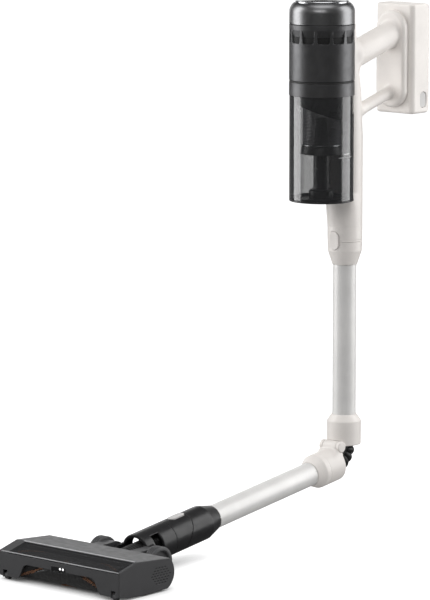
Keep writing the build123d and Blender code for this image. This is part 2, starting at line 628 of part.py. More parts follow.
with BuildPart() as light_bar:
    block((-LAMP_X, LAMP_X), (FRONT_Y, BUMPER_BACK), (24.6, 30))
keep(light_bar, "light_bar")

GRILLE_YZ = (-279.0, 22.0)
CAP_EDGE = 0.7
with BuildPart() as end_cap_right:
    head_prism(0, MID_RIGHT, HEAD_RIGHT)
    fillet(end_cap_right.faces().sort_by(Axis.X)[-1].edges(), radius=CAP_EDGE)
    block((90, BUMPER_X + 0.3), (-400, BUMPER_BACK + 0.3), (-5, FRONT_TOP + 5), mode=Mode.SUBTRACT)
    rod((100, *ROLLER_YZ), SIDE, 3.06, 3.6, mode=Mode.SUBTRACT)
    for row in range(-3, 4):
        for column in range(-3, 4):
            hole_y = 5.6 * (column + 0.5 * (row % 2))
            hole_z = 3.3 * row
            if (hole_y / 17.5) ** 2 + (hole_z / 11.5) ** 2 < 1:
                with BuildSketch(Plane((MID_RIGHT - 1, GRILLE_YZ[0] + hole_y, GRILLE_YZ[1] + hole_z),
                                       x_dir=(0, 1, 0), z_dir=SIDE)):
                    SlotOverall(4.0, 1.8)
                extrude(amount=10, mode=Mode.SUBTRACT)
keep(end_cap_right, "end_cap_right")

with BuildPart() as end_cap_left:
    head_prism(0, HEAD_LEFT, MID_LEFT)
    fillet(end_cap_left.faces().sort_by(Axis.X)[0].edges(), radius=CAP_EDGE)
    head_prism(SHELL, HEAD_LEFT + SHELL, MID_LEFT, mode=Mode.SUBTRACT)
    block((-BUMPER_X - 0.3, -80), (-400, BUMPER_BACK + 0.3), (-5, FRONT_TOP - SHELL), mode=Mode.SUBTRACT)
    block((-100.6, -80), (-400, -344.6), (-5, 13), mode=Mode.SUBTRACT)
keep(end_cap_left, "end_cap_left")

with BuildPart() as head_duct:
    tube((0, -310.6, PIVOT_Z - 1), (0, 1, 0), 14.0, 12.3, 60)
keep(head_duct, "head_duct")

with BuildPart() as brush_motor:
    rod((-82, *MOTOR_YZ), SIDE, 13.0, 60)
    rod((MID_LEFT + 1.7, *MOTOR_YZ), SIDE, 6.0, 5)
    rod((-95, *MOTOR_YZ), SIDE, 1.56, 40, mode=Mode.SUBTRACT)
keep(brush_motor, "brush_motor")

PULLEY_X = (-97.0, -91.0)
MOTOR_PULLEY_R = 5.0
ROLLER_PULLEY_R = 9.0
with BuildPart() as motor_pulley:
    rod((PULLEY_X[0], *MOTOR_YZ), SIDE, MOTOR_PULLEY_R, PULLEY_X[1] - PULLEY_X[0])
    rod((PULLEY_X[0], *MOTOR_YZ), SIDE, 1.5, 42)
keep(motor_pulley, "motor_pulley")


def belt_loop(extra):
    """Closed outline round both pulleys, grown by a distance, as a filled sketch."""
    with BuildSketch(Plane((-96.4, 0, 0), x_dir=(0, 1, 0), z_dir=SIDE)) as loop:
        with Locations(MOTOR_YZ):
            Circle(MOTOR_PULLEY_R + extra)
        with Locations(ROLLER_YZ):
            Circle(ROLLER_PULLEY_R + extra)
        make_hull()
    return loop.sketch


with BuildPart() as drive_belt:
    extrude(belt_loop(1.6), amount=4.8)
    extrude(belt_loop(0.3), amount=4.8, mode=Mode.SUBTRACT)
keep(drive_belt, "drive_belt")

with BuildPart() as roller_core:
    turn((0, *ROLLER_YZ), SIDE, [
        (0, -98), (3, -98), (3, PULLEY_X[0]), (ROLLER_PULLEY_R, PULLEY_X[0]), (ROLLER_PULLEY_R, PULLEY_X[1]),
        (3, PULLEY_X[1]), (3, -85.8), (10, -85.8), (10, 100.8), (3, 100.8), (3, 103.2), (0, 103.2),
    ])
keep(roller_core, "roller_core")

with BuildPart() as roller_bristles:
    turn((0, *ROLLER_YZ), SIDE, ring(10.0, ROLLER_R, -84, 87.6))
keep(roller_bristles, "roller_bristles")

with BuildPart() as wheel_axles:
    for side in (-1, 1):
        rod((side * 30.4, PIVOT_Y, PIVOT_Z), (side, 0, 0), 3.0, 26.6)
keep(wheel_axles, "wheel_axles")

for side, label in ((1, "rear_wheel_right"), (-1, "rear_wheel_left")):
    with BuildPart() as rear_wheel:
        inner_x, outer_x = WHEEL_X
        turn((0, PIVOT_Y, PIVOT_Z), (side, 0, 0), [
            (3.06, inner_x + 1), (7, inner_x + 1), (8, inner_x + 5), (14.5, inner_x + 5), (15.5, inner_x),
            (WHEEL_R - 1.5, inner_x), (WHEEL_R, inner_x + 1.5), (WHEEL_R, outer_x - 1.5), (WHEEL_R - 1.5, outer_x),
            (15.5, outer_x), (14.5, outer_x - 4), (8, outer_x - 4), (7, outer_x - 1), (3.06, outer_x - 1),
        ])
    keep(rear_wheel, label)

for side, label in ((1, "caster_right"), (-1, "caster_left")):
    with BuildPart() as caster:
        rod((side * (CASTER_X - 2.6), CASTER_Y, CASTER_R), (side, 0, 0), CASTER_R, 5.2)
        rod((side * 88.8, CASTER_Y, CASTER_R), (side, 0, 0), 1.2, 10.4)
        fillet(caster.faces().sort_by(Axis.X)[0].edges(), radius=0.2)
    keep(caster, label)
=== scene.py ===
"""Looks of the cordless stick vacuum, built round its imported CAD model.

Lengths named in the script are millimetres in the row frame, and MM turns them into metres.
"""

import json
from itertools import product
from math import cos, pi, radians, sin

import bmesh
import bpy
import numpy as np
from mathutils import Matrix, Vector


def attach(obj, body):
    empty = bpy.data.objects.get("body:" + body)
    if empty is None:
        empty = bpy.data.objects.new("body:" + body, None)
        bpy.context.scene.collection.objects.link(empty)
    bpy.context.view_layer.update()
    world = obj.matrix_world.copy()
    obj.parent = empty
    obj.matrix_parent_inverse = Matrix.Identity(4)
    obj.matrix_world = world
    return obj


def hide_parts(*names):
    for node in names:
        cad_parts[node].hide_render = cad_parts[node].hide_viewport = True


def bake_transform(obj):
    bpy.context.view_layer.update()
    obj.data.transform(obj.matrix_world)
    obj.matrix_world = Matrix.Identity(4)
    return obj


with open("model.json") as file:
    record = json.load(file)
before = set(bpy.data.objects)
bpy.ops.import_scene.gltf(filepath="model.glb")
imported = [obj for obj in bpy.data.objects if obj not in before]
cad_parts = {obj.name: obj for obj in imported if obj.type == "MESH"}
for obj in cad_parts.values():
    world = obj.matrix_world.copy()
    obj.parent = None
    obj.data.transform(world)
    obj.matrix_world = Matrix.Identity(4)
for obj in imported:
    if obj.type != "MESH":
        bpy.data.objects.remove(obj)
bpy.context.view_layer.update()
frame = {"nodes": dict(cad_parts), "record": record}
MM = 0.001

# ---- sizes shared with the CAD model -----------------------------------------------------
WAND_Y = 213.0
CAN_Y = 162.8
CAN_R = 44.1
CUP_R = 43.5
CUP_BOTTOM = 448.0
CUP_TOP = 591.0
HOUSING_BOTTOM = 611.3
HOUSING_TOP = 686.5
ELBOW_Z = 86.1
DROOP = radians(8.09)
HINGE_Y = 188.3
HINGE_T = (WAND_Y - HINGE_Y) * (1 - sin(DROOP)) / cos(DROOP)
HINGE_Z = ELBOW_Z + HINGE_T
DOWN_WAND = Vector((0, -cos(DROOP), -sin(DROOP)))
ABOVE_WAND = Vector((0, -sin(DROOP), cos(DROOP)))
ELBOW = Vector((0, WAND_Y, ELBOW_Z))
UP = Vector((0, 0, 1))
SIDE = Vector((1, 0, 0))
PIVOT = Vector((0, -222.0, 21.0))
ROLLER = Vector((0, -334.0, 20.0))


def along_wand(distance, height=0.0, x=0.0):
    """Point beside the lower wand axis, at a distance from the elbow."""
    return ELBOW + DOWN_WAND * distance + ABOVE_WAND * height + SIDE * x


# ---- node helpers ------------------------------------------------------------------------
class Nodes:
    """A material's node tree, with short ways to add nodes."""

    def __init__(self, name):
        self.material = bpy.data.materials.new(name)
        self.material.use_nodes = True
        self.tree = self.material.node_tree
        self.shader = self.tree.nodes["Principled BSDF"]
        self.place = self.tree.nodes.new("ShaderNodeTexCoord").outputs["Object"]

    def add(self, kind, inputs=None, **settings):
        node = self.tree.nodes.new("ShaderNode" + kind)
        for key, value in settings.items():
            setattr(node, key, value)
        for key, value in (inputs or {}).items():
            self.set(node.inputs[key], value)
        return node

    def set(self, socket, value):
        if isinstance(value, bpy.types.NodeSocket):
            self.tree.links.new(value, socket)
        else:
            socket.default_value = value

    def noise(self, size_mm, detail=3.0, stretch=None):
        """Noise from 0 to 1 with features of about that size."""
        place = self.place
        if stretch:
            place = self.add("Mapping", {"Vector": self.place, "Scale": stretch}).outputs["Vector"]
        inputs = {"Vector": place, "Scale": 1000 / size_mm, "Detail": detail}
        return self.add("TexNoise", inputs).outputs["Fac"]

    def ramp(self, value, low, high, from_low=0.35, from_high=0.65):
        node = self.add("MapRange", {"Value": value, "From Min": from_low, "From Max": from_high,
                                     "To Min": low, "To Max": high})
        return node.outputs["Result"]

    def blend(self, share, first, second):
        """Colour between two colours."""
        node = self.add("Mix", data_type="RGBA")
        self.set(node.inputs[0], share)
        self.set(node.inputs[6], first)
        self.set(node.inputs[7], second)
        return node.outputs[2]

    def math(self, operation, first, second):
        return self.add("Math", {0: first, 1: second}, operation=operation).outputs[0]

    def bump(self, height, depth_mm, strength=1.0, normal=None):
        inputs = {"Height": height, "Distance": depth_mm * MM, "Strength": strength}
        if normal is not None:
            inputs["Normal"] = normal
        return self.add("Bump", inputs).outputs["Normal"]

    def softened(self, radius_mm):
        """Normal that rounds every edge, and how much of an edge a point is, from 0 to 1."""
        soft = self.add("Bevel", {"Radius": radius_mm * MM}, samples=4).outputs["Normal"]
        flat = self.add("NewGeometry").outputs["Normal"]
        likeness = self.add("VectorMath", {0: soft, 1: flat}, operation="DOT_PRODUCT")
        return soft, self.ramp(likeness.outputs["Value"], 1.0, 0.0, 0.90, 0.99)

    def finish(self, **sockets):
        for key, value in sockets.items():
            self.set(self.shader.inputs[key.replace("_", " ")], value)
        return self.material


def rgb(red, green=None, blue=None):
    """Linear colour; one value alone is a grey."""
    return (red, red if green is None else green, red if blue is None else blue, 1.0)


def shaded(colour, share):
    return tuple(min(1.0, c * share) for c in colour[:3]) + (1.0,)


# ---- materials ---------------------------------------------------------------------------
EDGE_MM = 0.45


def moulded_plastic(name, colour, roughness, grain_mm=0.5, grain_depth=0.02, edge_wear_and_highlight=1.2, **sockets):
    """Moulded plastic: spark-eroded grain, faint mottling, uneven gloss, and edges painted lighter:
    partly rubbed wear, partly a painted edge highlight.
    """
    n = Nodes(name)
    soft, edge = n.softened(EDGE_MM)
    base = n.blend(n.ramp(n.noise(38, 4), 0.0, 1.0), colour, shaded(colour, 0.93))
    base = n.blend(n.ramp(n.noise(2.4, 5), 0.0, 0.3, 0.55, 0.75), base, shaded(colour, 0.84))
    # edges lighter in colour, broken up by noise: rubbed wear and a painted edge highlight
    wear_and_edge_highlight = n.math("MULTIPLY", edge, n.ramp(n.noise(6, 3), 0.15, 0.6))
    base = n.blend(wear_and_edge_highlight, base, shaded(colour, edge_wear_and_highlight))
    scuff = n.ramp(n.noise(1.1, 2, (1.0, 1.0, 0.12)), 0.0, 0.05, 0.5, 0.7)
    gloss = n.math("ADD", n.ramp(n.noise(9, 4), roughness - 0.04, roughness + 0.04), scuff)
    wave = n.bump(n.noise(24, 1), 0.04, 0.3, soft)
    grain = n.bump(n.noise(grain_mm, 2), grain_depth, 0.6, wave)
    return n.finish(Base_Color=base, Roughness=gloss, Normal=grain, **sockets)


def satin_metal(name, colour, roughness, metallic=1.0, along=(1.0, 1.0, 0.02), depth=0.012):
    """Drawn or brushed metal: fine streaks along one direction, faint stains, uneven gloss and a
    painted highlight that lightens the edges.
    """
    n = Nodes(name)
    soft, edge = n.softened(0.3)
    streak = n.noise(0.35, 2, along)
    base = n.blend(n.ramp(n.noise(30, 4), 0.0, 1.0), colour, shaded(colour, 0.92))
    base = n.blend(n.ramp(streak, 0.0, 0.35), base, shaded(colour, 0.80))
    # painted edge highlight: edges lighter in colour
    base = n.blend(n.math("MULTIPLY", edge, 0.4), base, shaded(colour, 1.3))
    gloss = n.math("ADD", n.ramp(streak, roughness - 0.03, roughness + 0.05),
                   n.ramp(n.noise(5, 4), 0.0, 0.06, 0.5, 0.7))
    return n.finish(Base_Color=base, Roughness=gloss, Normal=n.bump(streak, depth, 0.5, soft),
                    Metallic=metallic)


def rubber(name, colour, roughness=0.55):
    """Soft black rubber: fine pitting and pale dust in patches."""
    n = Nodes(name)
    soft, edge = n.softened(0.4)
    dust = n.ramp(n.noise(3.0, 5), 0.0, 0.5, 0.5, 0.75)
    base = n.blend(dust, colour, shaded(colour, 1.7))
    # painted edge highlight: edges lighter in colour
    base = n.blend(n.math("MULTIPLY", edge, 0.4), base, shaded(colour, 1.9))
    gloss = n.ramp(n.noise(5, 4), roughness - 0.07, roughness + 0.07)
    pits = n.bump(n.noise(0.8, 3), 0.03, 0.7, soft)
    return n.finish(Base_Color=base, Roughness=gloss, Normal=pits)


def felt(name, colour):
    """Pressed fibre: matted strands, uneven thickness and a dull nap."""
    n = Nodes(name)
    strands = n.noise(0.9, 6, (1.0, 1.0, 3.0))
    base = n.blend(n.ramp(strands, 0.0, 1.0), shaded(colour, 0.6), colour)
    base = n.blend(n.ramp(n.noise(12, 3), 0.0, 0.5), base, shaded(colour, 0.7))
    fuzz = n.bump(strands, 0.25, 0.9)
    return n.finish(Base_Color=base, Roughness=n.ramp(strands, 0.85, 1.0), Normal=fuzz,
                    Sheen_Weight=0.3)


def smoked_plastic(name, tint, face_share, edge_share, roughness=0.06):
    """Clear smoked plastic: thicker looking at its edges, with hairline scratches and dust."""
    n = Nodes(name)
    facing = n.add("LayerWeight", {"Blend": 0.5}).outputs["Facing"]
    scratch = n.ramp(n.noise(0.5, 2, (1.0, 1.0, 0.03)), 0.0, 1.0, 0.62, 0.72)
    dust = n.ramp(n.noise(3.0, 5), 0.0, 1.0, 0.60, 0.78)
    marks = n.math("MULTIPLY", n.math("MAXIMUM", scratch, dust), 0.05)
    cover = n.math("ADD", n.ramp(facing, face_share, edge_share, 0.15, 0.85), marks)
    base = n.blend(marks, tint, rgb(0.5))
    gloss = n.math("ADD", n.ramp(n.noise(14, 3), roughness - 0.02, roughness + 0.03), marks)
    wave = n.bump(n.noise(30, 1), 0.05, 0.25)
    return n.finish(Base_Color=base, Roughness=gloss, Normal=wave, Alpha=cover, IOR=1.8,
                    Coat_Weight=1.0, Coat_Roughness=0.08)


def circuit_board(name):
    """Green solder mask with copper tracks showing as slightly paler, raised lines."""
    n = Nodes(name)
    bricks = n.add("TexBrick", {"Vector": n.place, "Scale": 320.0, "Mortar Size": 0.03})
    tracks = bricks.outputs["Fac"]
    base = n.blend(tracks, rgb(0.02, 0.13, 0.05), rgb(0.05, 0.24, 0.09))
    base = n.blend(n.ramp(n.noise(6, 3), 0.0, 0.4), base, rgb(0.01, 0.08, 0.03))
    return n.finish(Base_Color=base, Roughness=n.ramp(n.noise(4, 3), 0.28, 0.42),
                    Normal=n.bump(tracks, 0.06, 0.6))


def strand_fibre(name, colour):
    """Nylon bristle: slightly uneven colour from strand to strand, with a soft sheen."""
    n = Nodes(name)
    strand = n.noise(1.6, 2)
    base = n.blend(n.ramp(strand, 0.0, 1.0), shaded(colour, 0.65), shaded(colour, 1.25))
    return n.finish(Base_Color=base, Roughness=n.ramp(n.noise(2.5, 3), 0.35, 0.55),
                    Normal=n.bump(strand, 0.05, 0.4), Sheen_Weight=0.2)


def lit_lens(name):
    """Milky lamp lens, faintly glowing, with a moulded ripple."""
    n = Nodes(name)
    ripple = n.noise(0.8, 2)
    base = n.blend(n.ramp(ripple, 0.0, 1.0), rgb(0.8), rgb(0.95))
    return n.finish(Base_Color=base, Roughness=n.ramp(ripple, 0.2, 0.4),
                    Normal=n.bump(ripple, 0.03, 0.5), Emission_Color=rgb(1.0), Emission_Strength=0.9)


FINISH = {
    "cream_shell": moulded_plastic("cream_moulding", rgb(0.83, 0.79, 0.755), 0.36, edge_wear_and_highlight=1.05),
    "grey_button": moulded_plastic("grey_key", rgb(0.58, 0.57, 0.56), 0.34, edge_wear_and_highlight=1.1),
    "housing_grey": moulded_plastic("housing_satin", rgb(0.120, 0.120, 0.123), 0.40, 0.35, 0.010, 1.5,
                                    Metallic=0.85),
    "cap_gunmetal": satin_metal("cap_gunmetal", rgb(0.270, 0.271, 0.276), 0.32, 1.0, (1.0, 1.0, 8.0),
                                0.001),
    "trim_silver": satin_metal("trim_silver", rgb(0.66, 0.67, 0.69), 0.20),
    "lens_black": moulded_plastic("lens_gloss", rgb(0.012, 0.012, 0.013), 0.08, 2.0, 0.002, 1.5),
    "cup_clear": smoked_plastic("cup_smoke", rgb(0.040, 0.041, 0.043), 0.32, 0.88),
    "cup_black": moulded_plastic("cup_black", rgb(0.014, 0.014, 0.015), 0.30, edge_wear_and_highlight=2.2),
    "mesh_steel": satin_metal("mesh_steel", rgb(0.20, 0.20, 0.21), 0.34),
    "seal_rubber": rubber("seal_rubber", rgb(0.02)),
    # dark felt, made darker still so that it paints the shade seen through the vent openings
    "filter_felt": felt("filter_felt", rgb(0.010)),
    "motor_metal": satin_metal("motor_metal", rgb(0.55, 0.55, 0.56), 0.30),
    "rotor_plastic": moulded_plastic("rotor_plastic", rgb(0.10, 0.11, 0.13), 0.35),
    "board_green": circuit_board("board_green"),
    "cell_wrap": moulded_plastic("cell_wrap", rgb(0.02, 0.10, 0.28), 0.25, 1.5, 0.01),
    "tube_satin": satin_metal("tube_satin", rgb(0.86, 0.85, 0.835), 0.42, 0.2, depth=0.004),
    "hose_black": rubber("hose_black", rgb(0.012), 0.42),
    "connector_black": moulded_plastic("connector_black", rgb(0.016, 0.016, 0.017), 0.33, 0.6, 0.008,
                                       2.0),
    "pin_steel": satin_metal("pin_steel", rgb(0.55, 0.54, 0.53), 0.25),
    "head_grey": moulded_plastic("head_satin", rgb(0.078, 0.078, 0.081), 0.40, 0.4, 0.012, 2.0,
                                 Metallic=0.25),
    "window_smoke": smoked_plastic("window_smoke", rgb(0.016, 0.016, 0.018), 0.30, 0.55, 0.12),
    "lamp_clear": lit_lens("lamp_lens"),
    "roller_tube": moulded_plastic("roller_tube", rgb(0.03), 0.45),
    "bristle": strand_fibre("bristle_copper", rgb(0.26, 0.115, 0.055)),
    "wheel_grey": moulded_plastic("wheel_grey", rgb(0.075, 0.075, 0.078), 0.45, 0.6, 0.03, 1.6),
}
# near-black bristle for the pile: dark fibre, partly painted shade under the head
SHADE_DARKENED_BRISTLE = strand_fibre("bristle_dark_shaded", rgb(0.008))
SLOT_OF_NODE = {part["node"]: part["material_slot"] for part in frame["record"]["subparts"]}
for node_name, node in frame["nodes"].items():
    node.data.materials.clear()
    node.data.materials.append(FINISH[SLOT_OF_NODE[node_name]])


# ---- mesh helpers ------------------------------------------------------------------------
def mesh_piece(name, points, faces, finish, body, stands_for=(), sharp=34.0):
    """A smooth-shaded piece from points in millimetres, riding on a body."""
    mesh = bpy.data.meshes.new(name)
    mesh.from_pydata([[c * MM for c in point] for point in points], [], faces)
    tidy = bmesh.new()
    tidy.from_mesh(mesh)
    bmesh.ops.recalc_face_normals(tidy, faces=tidy.faces)
    tidy.to_mesh(mesh)
    tidy.free()
    mesh.shade_smooth()
    mesh.set_sharp_from_angle(angle=radians(sharp))
    piece = bpy.data.objects.new(name, mesh)
    bpy.context.scene.collection.objects.link(piece)
    mesh.materials.append(finish if isinstance(finish, bpy.types.Material) else FINISH[finish])
    if body:
        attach(piece, body)
    if stands_for:
        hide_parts(*stands_for)
    return piece


def wrapped(rings):
    """Quads between each ring of point numbers and the next, and from the last to the first."""
    return [[low[k], low[(k + 1) % len(low)], high[(k + 1) % len(low)], high[k]]
            for low, high in zip(rings, rings[1:] + rings[:1]) for k in range(len(low))]


def rounded(corners, steps=5):
    """Closed outline of (a, b, radius) corners with each corner filleted."""
    outline = []
    for i, (a, b, radius) in enumerate(corners):
        here = np.array((a, b), float)
        before = np.array(corners[i - 1][:2], float) - here
        after = np.array(corners[(i + 1) % len(corners)][:2], float) - here
        if radius <= 0:
            outline.append(tuple(here))
            continue
        before_length = np.linalg.norm(before)
        after_length = np.linalg.norm(after)
        before /= before_length
        after /= after_length
        half = np.arccos(np.clip(before @ after, -1, 1)) / 2
        reach = min(radius / np.tan(half), 0.49 * before_length, 0.49 * after_length)
        for step in range(steps + 1):
            t = step / steps
            outline.append(tuple(here + before * reach * (1 - t) ** 2 + after * reach * t ** 2))
    return outline


def turned(name, centre, axis, profile, finish, body, stands_for=(), count=96):
    """Turn a closed profile of (radius, distance) points about an axis."""
    centre = Vector(centre)
    axis = Vector(axis).normalized()
    across = SIDE if abs(axis.x) < 0.5 else Vector((0, 1, 0))
    across = (across - axis * across.dot(axis)).normalized()
    third = axis.cross(across)
    points = []
    rings = []
    for radius, distance in profile:
        if radius < 1e-6:
            rings.append([len(points)] * count)
            points.append(centre + axis * distance)
            continue
        rings.append(list(range(len(points), len(points) + count)))
        for i in range(count):
            angle = 2 * pi * i / count
            outwards = across * cos(angle) + third * sin(angle)
            points.append(centre + axis * distance + outwards * radius)
    faces = []
    for low, high in zip(rings, rings[1:] + rings[:1]):
        for i in range(count):
            corners = (low[i], low[(i + 1) % count], high[(i + 1) % count], high[i])
            face = list(dict.fromkeys(corners))
            if len(face) > 2:
                faces.append(face)
    return mesh_piece(name, points, faces, finish, body, stands_for)


def hose(name, route, radius, wall, pitch, depth, stands_for, lean=0.0, count=48):
    """Corrugated tube along points spaced finely, whose ribs stand depth proud."""
    route = [Vector(p) for p in route]
    run = np.concatenate([[0], np.cumsum([(b - a).length for a, b in zip(route, route[1:])])])
    steps = int(run[-1] / pitch * 10)
    stations = np.linspace(0, run[-1], steps + 1)
    centres = np.array([[np.interp(s, run, [p[i] for p in route]) for i in range(3)]
                        for s in stations])
    points = []
    for i, centre in enumerate(centres):
        tangent = Vector(centres[min(i + 1, steps)] - centres[max(i - 1, 0)]).normalized()
        upwards = SIDE.cross(tangent).normalized()
        for k in range(count):
            angle = 2 * pi * k / count
            wave = abs(cos(pi * (stations[i] + lean * sin(angle)) / pitch)) ** 0.7
            reach = radius - depth * (1 - wave)
            points.append(Vector(centre) + (SIDE * cos(angle) + upwards * sin(angle)) * reach)
    outer = len(points)
    for i in (steps, 0):
        tangent = Vector(centres[min(i + 1, steps)] - centres[max(i - 1, 0)]).normalized()
        upwards = SIDE.cross(tangent).normalized()
        for k in range(count):
            angle = 2 * pi * k / count
            outwards = SIDE * cos(angle) + upwards * sin(angle)
            points.append(Vector(centres[i]) + outwards * (radius - wall))
    rings = [list(range(i * count, (i + 1) * count)) for i in range(outer // count + 2)]
    return mesh_piece(name, points, wrapped(rings), "hose_black", None, stands_for, 60.0)


# ---- blended mouldings -------------------------------------------------------------------
# A moulding is a signed distance field, negative inside, that turns into a mesh. Fields take
# an array of points, and join, trim and cut round the edge between two fields.
def join(first, second, soft):
    share = np.clip(0.5 + 0.5 * (second - first) / soft, 0, 1)
    return second * (1 - share) + first * share - soft * share * (1 - share)


def trim(first, second, soft=0.8):
    return -join(-first, -second, soft)


def cut(first, second, soft=0.8):
    return trim(first, -second, soft)


def bar(p, start, direction, radius):
    """Endless round bar; the radius may be an array."""
    start, direction = np.array(start), np.array(Vector(direction).normalized())
    beside = p - start
    return np.linalg.norm(beside - (beside @ direction)[..., None] * direction, axis=-1) - radius


def along(p, start, direction):
    return (p - np.array(start)) @ np.array(Vector(direction).normalized())


def slot_outline(a, b, half_run, radius):
    """Distance to a stadium whose straight sides run along b."""
    return np.hypot(a, b - np.clip(b, -half_run, half_run)) - radius


def moulding(name, field, low, high, finish, body, stands_for, step=1.0):
    """Mesh of the surface where the field is zero, one point to each crossed cell."""
    axes = [np.arange(a - step, b + 2 * step, step) for a, b in zip(low, high)]
    inside = field(np.stack(np.meshgrid(*axes, indexing="ij"), axis=-1)) < 0
    cells = [n - 1 for n in inside.shape]
    count = np.zeros(cells, int)
    for i, j, k in product((0, 1), repeat=3):
        count += inside[i:cells[0] + i, j:cells[1] + j, k:cells[2] + k]
    crossed = (count > 0) & (count < 8)
    index = np.full(cells, -1)
    index[crossed] = np.arange(crossed.sum())
    where = np.argwhere(crossed)
    centre = np.stack([axes[a][where[:, a]] + step / 2 for a in range(3)], axis=-1)
    points = centre.copy()
    for _ in range(5):
        value = field(points)
        rise = [field(points + d) - field(points - d) for d in np.eye(3) * 0.02]
        slope = np.stack(rise, axis=-1) / 0.04
        points = points - slope * (value / np.maximum((slope ** 2).sum(-1), 0.2))[:, None]
        points = np.clip(points, centre - 0.9 * step, centre + 0.9 * step)
    faces = []
    for a in range(3):
        b, c = (a + 1) % 3, (a + 2) % 3
        ahead = [slice(1, -1)] * 3
        here = [slice(1, -1)] * 3
        ahead[a], here[a] = slice(1, None), slice(0, -1)
        start, end = inside[tuple(here)], inside[tuple(ahead)]
        for flip in (False, True):
            edges = np.argwhere((end & ~start) if flip else (start & ~end))
            edges[:, b] += 1
            edges[:, c] += 1
            ring = []
            for db, dc in ((0, 0), (-1, 0), (-1, -1), (0, -1)):
                cell = edges.copy()
                cell[:, b] += db
                cell[:, c] += dc
                ring.append(index[tuple(cell.T)])
            quads = np.stack(ring[::-1] if flip else ring, axis=-1)
            faces.append(quads)
    faces = np.concatenate(faces).tolist()
    return mesh_piece(name, points.tolist(), faces, finish, body, stands_for, 38.0)


# ---- handle frame: spine, grip, strut and battery bracket --------------------------------
GRIP_RUN = Vector((0, cos(radians(16.4)), sin(radians(16.4))))
GRIP_START = (0, 222.0, 637.2)
GRIP_R = 18.0
STRUT_START = (0, 228.0, 559.8)
STRUT_R = 8.4
SPINE_HEIGHTS = (380, 390.2, 390.4, 391.0, 391.2, 530, 556, 587, 624, 662, 682, 700)
SPINE_RADII = (23.7, 23.7, 23.3, 23.3, 23.7, 23.7, 22.6, 21.5, 18.0, 15.0, 13.2, 11.0)
BRACKET_Y = 306.6
BRACKET_BACK = 316.6
BRACKET_Z = 628.5
BRACKET_HALF_RUN = 41.5
BRACKET_R = 25.0
BRACKET_EDGE = 5.0
KEY_Z = 390.0
KEY_HALF_RUN = 5.0
KEY_R = 7.7
KEY_FLOOR_Y = 195.2
SOCKET_BORE_R = 16.3
SOCKET_TOP = 430
DUCT_Y = 221
DUCT_R = 11.5
DUCT_TOP = 590
INLET_Z = 576
INLET_R = 10.0
FRAME_REAR = 311
COLLAR_SPLIT = 388.3


def key_pocket(x, y, z):
    return np.maximum(slot_outline(x, z - KEY_Z, KEY_HALF_RUN, KEY_R + 0.3), y - KEY_FLOOR_Y)


def bracket_field(x, y, z):
    side = slot_outline(x, z - BRACKET_Z, BRACKET_HALF_RUN, BRACKET_R) + BRACKET_EDGE
    front = BRACKET_Y - y + BRACKET_EDGE
    rim = np.hypot(np.maximum(side, 0), np.maximum(front, 0)) - BRACKET_EDGE
    return np.maximum(np.minimum(np.maximum(side, front), 0) + rim, y - BRACKET_BACK)


def handle_field(p):
    x, y, z = p[..., 0], p[..., 1], p[..., 2]
    spine = np.hypot(x, y - WAND_Y) - np.interp(z, SPINE_HEIGHTS, SPINE_RADII)
    spine = trim(spine, z - 690.8, 9.0)
    lean = 4.5 * np.clip((z - 408) / 40, 0, 1)
    ledge = np.maximum(np.hypot(x, y - WAND_Y + lean) - 23.7, np.maximum(z - 455, 410 - z))
    spine = join(spine, ledge, 0.5)
    grip = trim(bar(p, GRIP_START, GRIP_RUN, GRIP_R), np.maximum(222 - y, y - FRAME_REAR), 7.0)
    flare = 2.6 * np.clip(1 - along(p, STRUT_START, GRIP_RUN) / 26, 0, 1)
    strut = bar(p, STRUT_START, GRIP_RUN, STRUT_R + flare)
    strut = np.maximum(strut, np.maximum(216 - y, y - FRAME_REAR))
    frame_side = join(join(spine, grip, 9.0), strut, 9.0)
    whole = join(frame_side, bracket_field(x, y, z), 3.5)
    whole = cut(whole, np.maximum(np.hypot(x, y - CAN_Y) - CAN_R - 0.3, CUP_BOTTOM - 0.3 - z), 0.8)
    whole = cut(whole, np.maximum(np.hypot(x, y - WAND_Y) - SOCKET_BORE_R, z - SOCKET_TOP), 0.6)
    duct = np.maximum(np.hypot(x, y - DUCT_Y) - DUCT_R, np.maximum(SOCKET_TOP - z, z - DUCT_TOP))
    whole = cut(whole, duct, 0.6)
    whole = cut(whole, np.maximum(np.hypot(x, z - INLET_Z) - INLET_R, y - DUCT_Y), 0.6)
    whole = cut(whole, key_pocket(x, y, z), 0.5)
    rail = np.maximum(np.maximum(abs(x) - 16, abs(y - 320) - 4), abs(z - 630) - 30)
    return join(trim(whole, COLLAR_SPLIT - z, 0.7), rail, 0.4)


moulding("handle_frame", handle_field, (-27, 183, 387), (27, 326, 703), "cream_shell", "main_unit",
         ("spine_shell", "handle_grip", "lower_strut", "battery_bracket"))


# ---- wand collar -------------------------------------------------------------------------
def collar_field(p):
    x, y, z = p[..., 0], p[..., 1], p[..., 2]
    radius = np.hypot(x, y - WAND_Y)
    outer = (radius - np.interp(z, (350, 356, 375, 389), (14.9, 16.9, 23.25, 23.6))) * 0.95
    outer = trim(trim(outer, z - COLLAR_SPLIT, 0.7), 356 - z, 0.6)
    return cut(cut(outer, radius - SOCKET_BORE_R, 0.3), key_pocket(x, y, z), 0.5)


moulding("collar_shell", collar_field, (-25, 187, 355), (25, 238, 389), "cream_shell", "main_unit",
         ("wand_collar",), 0.8)


# ---- battery case ------------------------------------------------------------------------
PACK_MIDDLE = np.array((0, 336.85, 628.7))
PACK_HALF = np.array((32.7, 19.95, 75.6))
PACK_SIDE_R = 7
PACK_END_R = 4
PACK_REAR_R = 11.0
PACK_KEY_Y = 341
PACK_KEY_Z = 572
PACK_KEY_FLOOR = 27.4


def corner(a, b, radius):
    """Distance past two faces that meet in a rounded edge; a and b are measured from the faces."""
    a, b = a + radius, b + radius
    return np.hypot(np.maximum(a, 0), np.maximum(b, 0)) + np.minimum(np.maximum(a, b), 0) - radius


